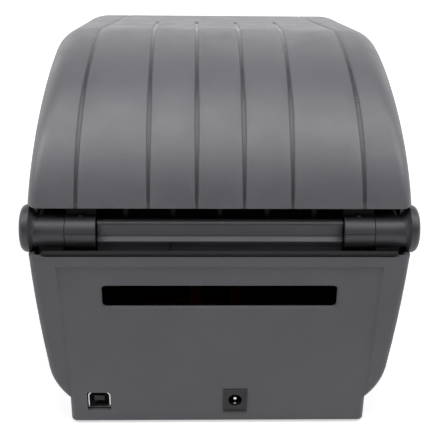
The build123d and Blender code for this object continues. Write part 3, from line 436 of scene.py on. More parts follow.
@dataclass(frozen=True)
class CircuitBoard(Finish):
    """Green solder mask over copper tracks and pads."""

    roughness: Point = (0.28, 0.42)
    tints: Point = (0.85, 1.2)
    track: Colour = (0.05, 0.22, 0.09)
    tracks: float = 240.0
    track_width: float = 0.06
    weave_size: float = 0.0008
    relief: float = 0.00003

    def paint(self, sheet: Sheet) -> None:
        """Paint the board's surface.

        Args:
            sheet: The material's tree.
        """
        place = sheet.place()
        tracks = sheet.add("TexBrick", offset=0.37, squash=1.6)
        sheet.link(place, tracks.inputs["Vector"])
        sheet.feed(tracks, "Scale", self.tracks)
        sheet.feed(tracks, "Mortar Size", self.track_width)
        for name, level in (("Color1", 0.0), ("Color2", 0.0), ("Mortar", 1.0)):
            sheet.feed(tracks, name, (level, level, level, 1.0))
        weave = sheet.noise(place, self.weave_size)
        tones = (shade(self.colour, tint) for tint in self.tints)
        mask = sheet.mix(sheet.spread(weave, 0.0, 1.0), *tones)
        sheet.set("Base Color", sheet.mix(tracks.outputs["Fac"], mask, self.track))
        sheet.set("Roughness", sheet.spread(weave, *self.roughness))
        sheet.bump(tracks.outputs["Fac"], self.relief)


COVER_SKIN = MouldedPlastic("cover_skin", (0.118, 0.116, 0.130), roughness=0.47, grain=0.0012,
                            relief=0.000030, specular=0.9)
# The grooves' floors: smoother, and darker than the skin, which is painted shade in the grooves.
GROOVE_FLOOR_SHADE = MouldedPlastic("cover_groove_painted_shade", (0.074, 0.072, 0.082), roughness=0.32, grain=0.0012,
                              relief=0.000004, contrast=0.02, specular=0.55)
BASE_SHELL = MouldedPlastic("base_shell", (0.112, 0.110, 0.124), roughness=0.52, relief=0.000014)
BARREL = MouldedPlastic("barrel", (0.050, 0.050, 0.056), roughness=0.42, grain=0.0006,
                        relief=0.00001)
INNER_BLACK = MouldedPlastic("inner_black", (0.024, 0.024, 0.026), roughness=0.75, grain=0.0008,
                             specular=0.2)
PAN_BLACK = MouldedPlastic("pan_black", (0.017, 0.017, 0.018), roughness=0.6, grain=0.0009)
AMBER = MouldedPlastic("amber_plastic", (0.66, 0.160, 0.014), roughness=0.45, grain=0.0008,
                       relief=0.00002)
HUB_GREY = MouldedPlastic("hub_grey", (0.17, 0.17, 0.18), roughness=0.45, grain=0.001,
                          relief=0.00002)
GEAR_WHITE = MouldedPlastic("gear_white", (0.60, 0.57, 0.50), roughness=0.4, grain=0.001,
                            relief=0.00001, contrast=0.03)
PANEL_BLACK = GlossPlastic("panel_black", (0.016, 0.016, 0.018), roughness=0.22)
BUTTON_GREY = MouldedPlastic("button_grey", (0.16, 0.16, 0.17), roughness=0.4, grain=0.0006)
ROCKER_BLACK = GlossPlastic("rocker_black", (0.012, 0.012, 0.013), roughness=0.16)
LIGHT_LENS = GlossPlastic("light_lens", (0.06, 0.42, 0.10), roughness=0.12, transmission=0.3)
RUBBER_FOOT = Rubber("rubber_foot", (0.018, 0.018, 0.019), roughness=0.8, stretch=Stretch.EVEN)
PLATEN_RUBBER = Rubber("platen_rubber", (0.030, 0.030, 0.032), roughness=0.62)
BRIGHT_STEEL = BareMetal("bright_steel", (0.74, 0.74, 0.75), roughness=0.28)
ZINC_PLATE = ZincSheet("zinc_plate", (0.44, 0.45, 0.46))
HEAD_METAL = BareMetal("head_metal", (0.50, 0.51, 0.53), roughness=0.42, marks=(0.0009, 4.0))
BOARD_GREEN = CircuitBoard("board_green", (0.012, 0.085, 0.035))

SLOT_FINISHES: dict[str, Finish] = {
    finish.name: finish
    for finish in (
        COVER_SKIN, BASE_SHELL, BARREL, INNER_BLACK, PAN_BLACK, AMBER, HUB_GREY, GEAR_WHITE,
        PANEL_BLACK, BUTTON_GREY, ROCKER_BLACK, LIGHT_LENS, RUBBER_FOOT, PLATEN_RUBBER,
        BRIGHT_STEEL, ZINC_PLATE, HEAD_METAL, BOARD_GREEN,
    )
}


# Outlines and meshes


MERGE_DISTANCE = 1e-6
EDGE_SEGMENTS = 2
EDGE_FROM_DEG = 35.0
EDGE_SHARP_DEG = 40.0

# A place for outlines in the plane of Y and Z, whose own Z axis runs along the printer's X.
SIDE_VIEW = Matrix(((0, 0, 1, 0), (1, 0, 0, 0), (0, 1, 0, 0), (0, 0, 0, 1)))


def rounded_path(corners: Sequence[Point], radii: Sequence[float], step_deg: float,
                 closed: bool = False) -> list[Point]:
    """Lay a path through corners that are rounded by arcs.

    Args:
        corners: Corner points in order.
        radii: Rounding radius at each corner. The ends of an open path stay sharp.
        step_deg: Largest turn between two points of an arc.
        closed: Whether the path returns to its start.

    Returns:
        The points of the path.
    """
    points: list[Point] = []
    count = len(corners)
    for index, (corner, radius) in enumerate(zip(corners, radii)):
        here = Vector(corner)
        at_end = not closed and index in (0, count - 1)
        if at_end or radius <= 0:
            points.append(corner)
            continue
        before = (here - Vector(corners[index - 1])).normalized()
        after = (Vector(corners[(index + 1) % count]) - here).normalized()
        turn = math.atan2(before.x * after.y - before.y * after.x, before.dot(after))
        reach = radius * math.tan(abs(turn) / 2)
        start = here - before * reach
        normal = Vector((-before.y, before.x)) * math.copysign(1.0, turn)
        centre = start + normal * radius
        steps = max(2, math.ceil(math.degrees(abs(turn)) / step_deg))
        for step in range(steps + 1):
            arm = Matrix.Rotation(turn * step / steps, 2) @ (start - centre)
            points.append(tuple(centre + arm))
    return points


def parabola(points: tuple[Point, ...], at: float) -> float:
    """Follow the parabola through three points.

    Args:
        points: Three pairs of a place and the value there.
        at: The place asked for.

    Returns:
        The value at that place.
    """
    (a, first), (b, second), (c, third) = points
    return (first * (at - b) * (at - c) / ((a - b) * (a - c))
            + second * (at - a) * (at - c) / ((b - a) * (b - c))
            + third * (at - a) * (at - b) / ((c - a) * (c - b)))


def rectangle(corner: Point, width: float, height: float) -> list[Point]:
    """The outline of a rectangle, from its corner of low coordinates."""
    (x, y), (far_x, far_y) = corner, (corner[0] + width, corner[1] + height)
    return [(x, y), (far_x, y), (far_x, far_y), (x, far_y)]


def rounded_rectangle(width: float, height: float, radius: float) -> list[Point]:
    """The outline of a rectangle with round corners, centred on the origin."""
    corners = rectangle((-width / 2, -height / 2), width, height)
    return rounded_path(corners, [radius] * 4, step_deg=10.0, closed=True)


def circle(centre: Point, radius: float, count: int = 96) -> list[Point]:
    """Points of a circle round a centre."""
    turns = [2 * math.pi * index / count for index in range(count)]
    return [(centre[0] + radius * math.cos(turn), centre[1] + radius * math.sin(turn))
            for turn in turns]


class Profile:
    """A side-view curve that gives a point and an outward normal at any length along it.

    Its direction is measured between two points at a reach to both sides.
    """

    REACH = 0.0006

    def __init__(self, points: list[Point]) -> None:
        """Measure the curve.

        Args:
            points: Points (y, z) from the rear end to the front end.
        """
        self.points = [Vector(point) for point in points]
        self.lengths = [0.0]
        for first, second in zip(self.points, self.points[1:]):
            self.lengths.append(self.lengths[-1] + (second - first).length)
        self.total = self.lengths[-1]

    def at(self, length: float) -> Vector:
        """Find the point at a length along the curve.

        Args:
            length: The length. Past an end of the curve the end counts.

        Returns:
            The point (y, z).
        """
        length = min(max(length, 0.0), self.total)
        low = min(bisect_right(self.lengths, length), len(self.lengths) - 1) - 1
        start, end = self.lengths[low:low + 2]
        share = (length - start) / (end - start) if end > start else 0.0
        return self.points[low].lerp(self.points[low + 1], share)

    def normal(self, length: float) -> Vector:
        """The outward normal (y, z) at a length along the curve."""
        along = self.at(length + self.REACH) - self.at(length - self.REACH)
        return Vector((along.y, -along.x)).normalized()

    def length_at_y(self, y: float) -> float:
        """The length along the curve where it first reaches a Y."""
        reached = (length for length, point in zip(self.lengths, self.points) if point.x <= y)
        return next(reached, self.total)


def new_object(name: str, data: bpy.types.ID) -> Piece:
    """Link a mesh, a camera or a lamp to the scene as an object.

    Args:
        name: Name of the object.
        data: What it shows.

    Returns:
        The new object.
    """
    made = bpy.data.objects.new(name, data)
    bpy.context.scene.collection.objects.link(made)
    return made


def mesh_object(name: str, vertices: list[Vector], faces: list[list[int]]) -> Piece:
    """Make an object from vertices and faces, with its normals turned outward.

    Args:
        name: Name of the object.
        vertices: Vertex places.
        faces: Corner numbers of each face.

    Returns:
        The new object.
    """
    mesh = bpy.data.meshes.new(name)
    mesh.from_pydata([tuple(vertex) for vertex in vertices], [], faces)
    shape = bmesh.new()
    shape.from_mesh(mesh)
    bmesh.ops.remove_doubles(shape, verts=shape.verts, dist=MERGE_DISTANCE)
    bmesh.ops.dissolve_degenerate(shape, edges=shape.edges, dist=MERGE_DISTANCE)
    bmesh.ops.recalc_face_normals(shape, faces=shape.faces)
    shape.to_mesh(mesh)
    shape.free()
    return new_object(name, mesh)


def prism(name: str, outline: list[Point], place: Matrix, low: float, high: float,
          hole: list[Point] | None = None) -> Piece:
    """Make a straight prism from a closed outline, or a ring where it has a hole.

    Args:
        name: Name of the object.
        outline: Closed outline in the plane of place.
        place: Matrix whose Z axis the prism runs along.
        low: Where it starts along that axis.
        high: Where it ends.
        hole: Outline of the hole, with as many points.

    Returns:
        The new object.
    """
    count = len(outline)
    outlines = [outline, hole] if hole else [outline]
    vertices = [place @ Vector((x, y, z))
                for z in (low, high) for corners in outlines for x, y in corners]
    faces = [] if hole else [list(range(count)), list(range(count, 2 * count))]
    for index in range(count):
        after = (index + 1) % count
        for first, second in ((0, 1), (1, 3), (3, 2), (2, 0)) if hole else ((0, 1),):
            faces.append([first * count + index, first * count + after,
                          second * count + after, second * count + index])
    return mesh_object(name, vertices, faces)


def smooth(piece: Piece, sharp_deg: float) -> None:
    """Shade a piece smooth and keep its sharp edges.

    Args:
        piece: The piece.
        sharp_deg: Angle between two faces from which their edge is sharp.
    """
    for face in piece.data.polygons:
        face.use_smooth = True
    piece.data.set_sharp_from_angle(angle=math.radians(sharp_deg))


def apply_modifiers(piece: Piece) -> None:
    """Turn a piece's modifiers into plain mesh.

    Args:
        piece: The piece.
    """
    graph = bpy.context.evaluated_depsgraph_get()
    finished = bpy.data.meshes.new_from_object(piece.evaluated_get(graph))
    piece.modifiers.clear()
    piece.data = finished


def cut(piece: Piece, cutters: list[Piece]) -> None:
    """Cut other objects out of a piece and remove them.

    Args:
        piece: The piece.
        cutters: What is cut out of it.
    """
    for cutter in cutters:
        modifier = piece.modifiers.new("cut", "BOOLEAN")
        modifier.operation = "DIFFERENCE"
        modifier.solver = "EXACT"
        modifier.object = cutter
    apply_modifiers(piece)
    for cutter in cutters:
        bpy.data.objects.remove(cutter)


def soften(piece: Piece, radius: float) -> None:
    """Round the sharp edges of a piece.

    Args:
        piece: The piece.
        radius: Radius of its edges.
    """
    bevel = piece.modifiers.new("edges", "BEVEL")
    bevel.width = radius
    bevel.segments = EDGE_SEGMENTS
    bevel.limit_method = "ANGLE"
    bevel.angle_limit = math.radians(EDGE_FROM_DEG)
    apply_modifiers(piece)
    smooth(piece, EDGE_SHARP_DEG)


def dress(piece: Piece, finish: Finish, body: Body, *replaced: str) -> None:
    """Give a piece its finish, slot and body.

    Args:
        piece: The piece to dress.
        finish: Its finish.
        body: The body that it rides on.
        replaced: CAD nodes that it stands for.
    """
    piece.data.materials.clear()
    piece.data.materials.append(finish.material())
    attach(piece, body.value)
    if replaced:
        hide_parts(*replaced)
    LOG.info("%s: %d faces, rides on %s", piece.name, len(piece.data.polygons), body.value)


# The cover


@dataclass
class Cover:
    """The domed cover: an arch behind, slopes in front, long grooves and rounded shoulders.

    A groove's shape is given as pairs of a share of its half width and a share of its depth,
    the outer groove's path as pairs (y, x), and the side wall's as pairs (z, half width). The
    window is given by its width, its length and the radius of its corners.
    """

    hinge: Point = HINGE_AXIS
    lip_radius: float = 0.0153
    arch_centre: Point = (0.0248, 0.110)
    arch_depth: float = 0.1027
    arch_steps: int = 72
    ridge_z: float = 0.1902
    ridge_corner: Point = (0.0169, 0.1902)
    top_corner: Point = (-0.1002, 0.16678)
    brow: Point = (-0.1335, 0.10413)
    split_z: float = 0.1132
    split_bend_y: float = -0.060
    split_level_y: float = -0.122
    split_front: Point = (-0.1335, 0.0922)
    corner_radii: tuple[float, ...] = (0.070, 0.035, 0.018)
    side_wall: tuple[Point, ...] = ((0.070, 0.0989), (0.150, 0.0953), (0.200, 0.0881))
    wall_steps: int = 8
    shoulder_ridge: float = 0.0135
    shoulder_rear: float = 0.0050
    shoulder_rear_z: float = 0.125
    shoulder_swell: float = 1.6
    shoulder_front: float = 0.0215
    shoulder_growth: float = 0.100
    shoulder_foot: float = 0.006
    shoulder_foot_z: float = 0.100
    shoulder_foot_rise: float = 0.030
    shoulder_least: float = 0.0015
    shoulder_steps: int = 9
    wall: float = 0.0028
    wall_shrink: float = 0.09
    row_step: float = 0.0021
    row_gap: float = 0.0005
    groove_depth: float = 0.0010
    groove_half: float = 0.00125
    groove_shape: tuple[Point, ...] = (
        (-1.3, 0.0), (-1.0, 0.2), (-0.66, 0.85), (0.0, 1.0), (0.66, 0.85), (1.0, 0.2), (1.3, 0.0))
    groove_rows: tuple[float, ...] = (0.0, 0.06, 0.2, 0.4, 0.7, 1.0)
    polish_and_shade_share: float = 0.5
    inner_grooves: tuple[float, ...] = (0.01196, 0.0363)
    inner_end_y: float = -0.0327
    groove_fade_y: float = -0.030
    groove_fade: float = 0.045
    lip_z: float = 0.1296
    lip_fade: float = 0.0025
    outer_groove: tuple[Point, ...] = ((0.140, 0.0734), (0.025, 0.0666), (-0.090, 0.0570))
    outer_swell: float = 0.25
    outer_swell_z: float = 0.165
    outer_swell_fall: float = 0.05
    outer_taper: float = 0.45
    outer_fade: float = 0.75
    recess_half: float = 0.0390
    recess_start_y: float = -0.0850
    recess_end_y: float = -0.1245
    recess_depth: float = 0.0008
    recess_edge: float = 0.0009
    recess_side: Point = (-0.0004, 0.0002)
    exit_half: float = 0.0575
    exit_top_z: float = 0.097
    exit_back_y: float = -0.1255
    window: Spot = (0.0764, 0.0284, 0.0042)
    window_centre: Point = (-0.116, 0.13705)
    window_slope_deg: float = 62.0
    window_reach: float = 0.012
    barrel_reach: float = 0.12
    profile: Profile = field(init=False)

    def __post_init__(self) -> None:
        """Measure the side profile."""
        self.profile = Profile(self.side_points())

    def side_points(self) -> list[Point]:
        """Draw the side profile from the rear split line to the front one.

        Returns:
            Its points (y, z).
        """
        centre_y, centre_z = self.arch_centre
        rise = self.ridge_z - centre_z
        start = math.asin((self.split_z - centre_z) / rise)
        arch = []
        for step in range(self.arch_steps + 1):
            angle = start + (math.pi / 2 - start) * step / self.arch_steps
            arch.append((centre_y + self.arch_depth * math.cos(angle),
                         centre_z + rise * math.sin(angle)))
        corners = [arch[-1], self.ridge_corner, self.top_corner, self.brow, self.split_front]
        return arch[:-1] + rounded_path(corners, [0, *self.corner_radii, 0], step_deg=2.5)

    def half_width(self, z: float) -> float:
        """Half the cover's width at a height, from the arc that its side walls follow."""
        return parabola(self.side_wall, z)

    def shoulder(self, point: Vector) -> float:
        """Find the rounding radius of the shoulder.

        Args:
            point: Profile point (y, z).

        Returns:
            The radius there.
        """
        if point.x < self.arch_centre[0]:
            raised = held((point.y - self.shoulder_foot_z) / self.shoulder_foot_rise)
            grown = held((self.arch_centre[0] - point.x) / self.shoulder_growth)
            full = self.shoulder_ridge + (self.shoulder_front - self.shoulder_ridge) * grown
            return self.shoulder_foot + (full - self.shoulder_foot) * raised
        share = held((point.y - self.shoulder_rear_z) / (self.ridge_z - self.shoulder_rear_z))
        growth = (self.shoulder_ridge - self.shoulder_rear) * share ** self.shoulder_swell
        return self.shoulder_rear + growth

    def split_height(self, y: float) -> float:
        """The height of the split line at a Y: level behind, then a slope, then level in front."""
        way = held((self.split_bend_y - y) / (self.split_bend_y - self.split_level_y))
        return self.split_z + (self.split_front[1] - self.split_z) * way

    def outer_groove_x(self, y: float) -> float:
        """X of the curved outer groove at a Y."""
        (rear, _), _, (front, _) = self.outer_groove
        return parabola(self.outer_groove, min(max(y, front), rear))

    def front_share(self, y: float) -> float:
        """How far the outer groove has faded toward the front at a Y, from 0 to 1."""
        return held((self.groove_fade_y - y) / self.groove_fade)

    def outer_groove_width(self, point: Vector) -> float:
        """The outer groove's width at a profile point as a share of the inner grooves' width."""
        swell = self.outer_swell * held((self.outer_swell_z - point.y) / self.outer_swell_fall)
        return 1.0 + (swell if point.x > 0 else -self.outer_taper * self.front_share(point.x))

    def polish_and_shade_grooves(self, shell: Piece) -> None:
        """Give the floors of the grooves their smoother finish and a darker colour, which is
        painted shade in the grooves.

        Args:
            shell: The dressed cover.
        """
        shell.data.materials.append(GROOVE_FLOOR_SHADE.material())
        near = self.groove_half * self.polish_and_shade_share
        for face in shell.data.polygons:
            across, centre = abs(face.center.x), face.center.yz
            inner = any(abs(across - x) < near for x in self.inner_grooves)
            wide = self.outer_groove_width(centre)
            outer = abs(across - self.outer_groove_x(centre.x)) < near * wide
            # These faces get the darker groove colour: painted shade along the grooves' floors.
            if (inner and centre.x > self.inner_end_y) or outer:
                face.material_index = 1

    def recess_share(self, length: float) -> float:
        """How much of the front recess's depth there is at a length along the profile."""
        start = self.profile.length_at_y(self.recess_start_y)
        end = self.profile.length_at_y(self.recess_end_y)
        return held((length - start) / self.recess_edge) * held((end - length) / self.recess_edge)

    def columns(self, length: float) -> list[Point]:
        """Lay out the flat part of a half cross-section, from the centre to the shoulder.

        Args:
            length: Length along the profile.

        Returns:
            Pairs of X and depth below the smooth skin.
        """
        point = self.profile.at(length)
        run_out = (point.x - self.inner_end_y) / self.groove_half
        at_lip = held((point.y - self.lip_z) / self.lip_fade) if point.x > 0 else 1.0
        end_share = math.sqrt(max(0.0, 1 - max(0.0, 1 - run_out) ** 2)) if run_out > 0 else 0.0
        floor = self.recess_share(length) * self.recess_depth
        edge = self.groove_shape[0][0] * self.groove_half
        pairs = [(0.0, floor)]

        def lead_to(end: float, count: int, depth: float) -> None:
            """Add evenly spaced columns between the last one and a place."""
            last = pairs[-1][0]
            pairs.extend([(last + (end - last) * step / (count + 1), depth)
                          for step in range(1, count + 1)])

        def groove(x: float, wide: float, share: float, base: float) -> None:
            """Add the columns of one groove in a surface at a depth."""
            pairs.extend([(x + offset * self.groove_half * wide,
                           depth * self.groove_depth * share + base)
                          for offset, depth in self.groove_shape])

        for x in self.inner_grooves:
            lead_to(x + edge, 2, floor)
            groove(x, 1.0, at_lip * end_share, floor)
        for offset, depth in zip(self.recess_side, (floor, 0.0)):
            pairs.append((self.recess_half + offset, depth))
        x, wide = self.outer_groove_x(point.x), self.outer_groove_width(point)
        lead_to(x + edge * wide, 3, 0.0)
        groove(x, wide, at_lip * (1 - self.outer_fade * self.front_share(point.x)), 0.0)
        lead_to(self.half_width(point.y) - self.shoulder(point), 2, 0.0)
        return pairs

    def row_lengths(self) -> list[float]:
        """Choose where the mesh has rows.

        Returns:
            Lengths along the profile.
        """
        total, edge = self.profile.total, self.recess_edge
        start, end, groove_end = (self.profile.length_at_y(y) for y in (
            self.recess_start_y, self.recess_end_y, self.inner_end_y))
        lengths = {start, start + edge, end, end - edge}
        lengths |= {groove_end - self.groove_half * share for share in self.groove_rows}
        count = round(total / self.row_step)
        even = [total * index / count for index in range(1, count)]
        clear = [length for length in even
                 if all(abs(length - other) > self.row_gap for other in lengths)]
        return sorted([0.0, total, *clear, *lengths])

    def half_row(self, length: float, inset: float) -> list[Vector]:
        """Lay out one half cross-section, from the centre over the shoulder to the split line.

        Args:
            length: Length along the profile.
            inset: 0 for the outside, or the wall for the inside.

        Returns:
            Points with positive X.
        """
        point, normal = self.profile.at(length), self.profile.normal(length)
        radius = max(self.shoulder_least, self.shoulder(point) - inset)
        row = []
        for x, depth in self.columns(length):
            spot = point - normal * (inset + (depth if inset == 0 else 0.0))
            row.append(Vector((x * (1 - inset / self.wall_shrink), spot.x, spot.y)))
        for step in range(self.shoulder_steps + 1):
            angle = math.pi / 2 * step / self.shoulder_steps
            spot = point - normal * (inset + radius * (1 - math.cos(angle)))
            edge = self.half_width(spot.y) - inset
            row.append(Vector((edge - radius + radius * math.sin(angle), spot.x, spot.y)))
        wall_top = point - normal * (inset + radius)
        rear_y = self.arch_centre[0] + self.arch_depth - inset - radius
        front_y = self.split_front[0] + inset + radius
        foot_y = rear_y + (front_y - rear_y) * (length / self.profile.total)
        foot = Vector((foot_y, self.split_height(foot_y)))
        for step in range(1, self.wall_steps + 1):
            spot = wall_top.lerp(foot, step / self.wall_steps)
            row.append(Vector((self.half_width(spot.y) - inset, spot.x, spot.y)))
        for corner in row:
            over_exit = corner.y < self.exit_back_y and abs(corner.x) < self.exit_half
            lowest = self.exit_top_z if over_exit else self.split_height(corner.y)
            corner.z = max(corner.z, lowest)
        return row

    def skin(self) -> Piece:
        """Make the closed shell of the cover before its openings are cut.

        Returns:
            The shell.
        """
        layers = []
        for inset in (0.0, self.wall):
            grid = []
            for length in self.row_lengths():
                half = self.half_row(length, inset)
                mirrored = [Vector((-x, y, z)) for x, y, z in reversed(half[1:])]
                grid.append(mirrored + half)
            layers.append(grid)
        rows, columns = len(layers[0]), len(layers[0][0])
        vertices = [corner for grid in layers for row in grid for corner in row]

        def face(*corners: Spot) -> list[int]:
            """A face through grid points, each given as layer, row and column."""
            return [(layer * rows + row) * columns + column for layer, row, column in corners]

        across = range(columns - 1)
        faces = [face((side, row, column), (side, row, column + 1),
                      (side, row + 1, column + 1), (side, row + 1, column))
                 for side in range(2) for row in range(rows - 1) for column in across]
        faces += [face((0, row, end), (0, row + 1, end), (1, row + 1, end), (1, row, end))
                  for row in range(rows - 1) for end in (0, columns - 1)]
        faces += [face((0, end, column), (0, end, column + 1), (1, end, column + 1),
                       (1, end, column)) for column in across for end in (0, rows - 1)]
        return mesh_object("cover_skin_shell", vertices, faces)

    def build(self) -> None:
        """Make the cover's skin, cut its openings and dress it."""
        shell = self.skin()
        angle = math.radians(self.window_slope_deg)
        right, out = Vector((1, 0, 0)), Vector((0, -math.sin(angle), math.cos(angle)))
        slope = Matrix((right, out.cross(right), out)).transposed().to_4x4()
        slope.translation = (0, *self.window_centre)
        barrel = prism("cut_barrel", circle(self.hinge, self.lip_radius), SIDE_VIEW,
                       -self.barrel_reach, self.barrel_reach)
        window = prism("cut_window", rounded_rectangle(*self.window), slope,
                       -self.window_reach, self.window_reach)
        cut(shell, [barrel, window])
        smooth(shell, sharp_deg=38.0)
        dress(shell, COVER_SKIN, Body.COVER, "cover_shell")
        self.polish_and_shade_grooves(shell)


# The hinge barrel


@dataclass
class HingeBarrel:
    """What turns with the cover on the hinge line: two collars and the bar between them.

    Points are (y, z), and the seams' angles are degrees up from the rear. The bar's corners run
    from its lip up the steep face, over the top and back along its underside. The nub is given
    by its width, depth and height.
    """

    axis: Point = HINGE_AXIS
    collar_start: float = 0.0630
    collar_end: float = 0.0784
    collar_inner: float = 0.0076
    collar_outer: float = 0.00842
    collar_steps: int = 48
    seam_deg: float = 15.0
    far_seam_deg: float = 210.0
    seam_gap: float = 0.00035
    collar_edge: float = 0.00025
    nub: Spot = (0.0022, 0.0016, 0.0012)
    nub_corner: float = 0.00072
    nub_edge: float = 0.0003
    bar_half: float = 0.0623
    bar_edge: float = 0.0002
    bar_corners: tuple[Point, ...] = ((0.1277, 0.1119), (0.1248, 0.1142), (0.1245, 0.1220),
                                      (0.1160, 0.1210), (0.1214, 0.1100), (0.1250, 0.1112))
    bar_radii: tuple[float, ...] = (0.0004, 0.0015, 0.0020, 0.0030, 0.0010, 0.0004)
    bar_joint_x: float = 0.0253
    bar_joint_gap: float = 0.0003
    skirt_y: float = 0.1253
    skirt_low_z: float = 0.1044
    skirt_high_z: float = 0.1116
    skirt_thickness: float = 0.0018
    # A dark strip of painted shade on the rear panel's top edge under the bar.
    shade_strip_half: float = 0.0900
    shade_strip_rear: Point = (0.13348, 0.1087)
    shade_strip_size: Point = (0.0030, 0.0012)

    def sector(self, start_deg: float, end_deg: float) -> list[Point]:
        """Draw a part of the collar's ring.

        Args:
            start_deg: Where it starts.
            end_deg: Where it ends.

        Returns:
            The closed outline.
        """
        outer, inner = [], []
        for step in range(self.collar_steps + 1):
            angle = math.radians(start_deg + (end_deg - start_deg) * step / self.collar_steps)
            ray = Vector((math.cos(angle), math.sin(angle)))
            outer.append(tuple(Vector(self.axis) + ray * self.collar_outer))
            inner.append(tuple(Vector(self.axis) + ray * self.collar_inner))
        return outer + inner[::-1]

    def collar(self, side: int) -> None:
        """Make the two half sleeves of one collar and the nub on its top.

        Args:
            side: 1 for the side of +X, -1 for the other.
        """
        name = "right" if side > 0 else "left"
        low, high = sorted((side * self.collar_start, side * self.collar_end))
        gap_deg = math.degrees(self.seam_gap / self.collar_outer)
        halves = (("upper", self.seam_deg + gap_deg, self.far_seam_deg),
                  ("lower", self.far_seam_deg - 360, self.seam_deg))
        for half, start, end in halves:
            sleeve = prism(f"collar_{half}_{name}", self.sector(start, end), SIDE_VIEW, low, high)
            soften(sleeve, self.collar_edge)
            dress(sleeve, BARREL, Body.COVER)
        width, depth, height = self.nub
        middle = side * (self.collar_start + self.collar_end) / 2
        foot_z = self.axis[1] + self.collar_outer - height / 3
        place = Matrix.Translation((middle, self.axis[0], foot_z))
        outline = rounded_rectangle(width, depth, self.nub_corner)
        nub = prism(f"collar_nub_{name}", outline, place, 0, height)
        soften(nub, self.nub_edge)
        dress(nub, BARREL, Body.COVER)

    def bead(self) -> None:
        """Make the bar's bead, with a steep face that flares to a lip."""
        outline = rounded_path(self.bar_corners, self.bar_radii, step_deg=10.0, closed=True)
        bead = prism("hinge_bar_bead", outline, SIDE_VIEW, -self.bar_half, self.bar_half)
        soften(bead, self.bar_edge)
        dress(bead, BARREL, Body.COVER, "hinge_bar")

    def skirt(self) -> None:
        """Make the bar's skirt in two lengths with a hairline joint."""
        outline = rectangle((self.skirt_y - self.skirt_thickness, self.skirt_low_z),
                            self.skirt_thickness, self.skirt_high_z - self.skirt_low_z)
        stretches = (("long", -self.bar_half, self.bar_joint_x - self.bar_joint_gap / 2),
                     ("short", self.bar_joint_x + self.bar_joint_gap / 2, self.bar_half))
        for name, low, high in stretches:
            skirt = prism(f"hinge_bar_skirt_{name}", outline, SIDE_VIEW, low, high)
            soften(skirt, self.bar_edge)
            dress(skirt, BASE_SHELL, Body.COVER, "hinge_bar")

    def shade_strip(self) -> None:
        """Make the dark strip along the top edge of the rear panel, under the bar: painted shade
        over the edge, which lies in the bar's shadow.
        """
        (rear, top), (depth, height) = self.shade_strip_rear, self.shade_strip_size
        outline = rectangle((rear - depth, top - height), depth, height)
        strip = prism("painted_shade_strip", outline, SIDE_VIEW, -self.shade_strip_half, self.shade_strip_half)
        soften(strip, self.bar_edge)
        dress(strip, INNER_BLACK, Body.BASE)

    def build(self) -> None:
        """Make both collars, the bar and the strip of painted shade below it."""
        for side in SIDES:
            self.collar(side)
        self.bead()
        self.skirt()
        self.shade_strip()


# The rear sockets and the power rocker


@dataclass
class RearSockets:
    """Small parts round the power inlet in the rear panel.

    The contact's outline is given by its width, its height and the radius of its corners.
    """

    panel_y: float = 0.1327
    inlet_low: Point = (-0.0154, 0.0082)
    inlet_high: Point = (-0.0032, 0.0227)
    inlet_corner: float = 0.0006
    gap: float = 0.0012
    gap_depth: float = 0.0004
    contact: Spot = (-0.0093, 0.1290, 0.0126)
    contact_outline: Spot = (0.0012, 0.0008, 0.0002)
    contact_length: float = 0.0024
    contact_edge: float = 0.0001

    def facing_rear(self, place: Spot) -> Matrix:
        """A plane at a place that faces the rear, with its Z axis along +Y."""
        return Matrix.Translation(place) @ Matrix(((1, 0, 0), (0, 0, 1), (0, 1, 0))).to_4x4()

    def build(self) -> None:
        """Make the black gap round the inlet and the contact inside it."""
        (x0, z0), (x1, z1) = self.inlet_low, self.inlet_high
        place = self.facing_rear(((x0 + x1) / 2, self.panel_y, (z0 + z1) / 2))
        outline, hole = (
            rounded_rectangle(x1 - x0 + grown, z1 - z0 + grown, self.inlet_corner)
            for grown in (self.gap, -self.gap))
        gap = prism("inlet_gap", outline, place, -self.gap_depth, self.gap_depth, hole)
        dress(gap, PAN_BLACK, Body.BASE)
        contact = prism("inlet_contact", rounded_rectangle(*self.contact_outline),
                        self.facing_rear(self.contact), 0, self.contact_length)
        soften(contact, self.contact_edge)
        dress(contact, BRIGHT_STEEL, Body.BASE)


@dataclass
class RockerMarks:
    """The raised line and ring on the two halves of the power rocker.

    Each spot is the mark's (x, y) on the rocker's face, and each slope tells how far the face
    rises along X for a run along Y.
    """

    middle_z: float = 0.0450
    line_spot: Point = (0.09219, 0.0645)
    line_slope: Point = (0.0023, 0.0080)
    line_size: Point = (0.0006, 0.0030)
    line_corner: float = 0.00024
    ring_spot: Point = (0.09074, 0.0558)
    ring_slope: Point = (0.0003, 0.0080)
    ring_radii: Point = (0.0015, 0.0010)
    ring_steps: int = 36
    height: float = 0.00012

    def build(self) -> None:
        """Make both marks."""
        bar = rounded_rectangle(*self.line_size, self.line_corner)
        outer, inner = (circle((0, 0), radius, self.ring_steps) for radius in self.ring_radii)
        marks = (("line", bar, None, self.line_spot, self.line_slope),
                 ("ring", outer, inner, self.ring_spot, self.ring_slope))
        for name, outline, hole, spot, slope in marks:
            along, up = Vector((*slope, 0)).normalized(), Vector((0, 0, 1))
            face = Matrix((along, up, along.cross(up))).transposed().to_4x4()
            face.translation = (*spot, self.middle_z)
            mark = prism(f"rocker_{name}", outline, face, 0, self.height, hole)
            dress(mark, GEAR_WHITE, Body.ROCKER)


# Nodes that stay as the frame has them


def dress_frame(frame: dict) -> None:
    """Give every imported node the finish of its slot.
    """
    slots = {part["node"]: part["material_slot"] for part in frame["record"]["subparts"]}
    for name, node in frame["nodes"].items():
        node.data.materials.clear()
        node.data.materials.append(SLOT_FINISHES[slots[name]].material())
    LOG.info("%d nodes dressed", len(slots))


# Camera, lights and floor


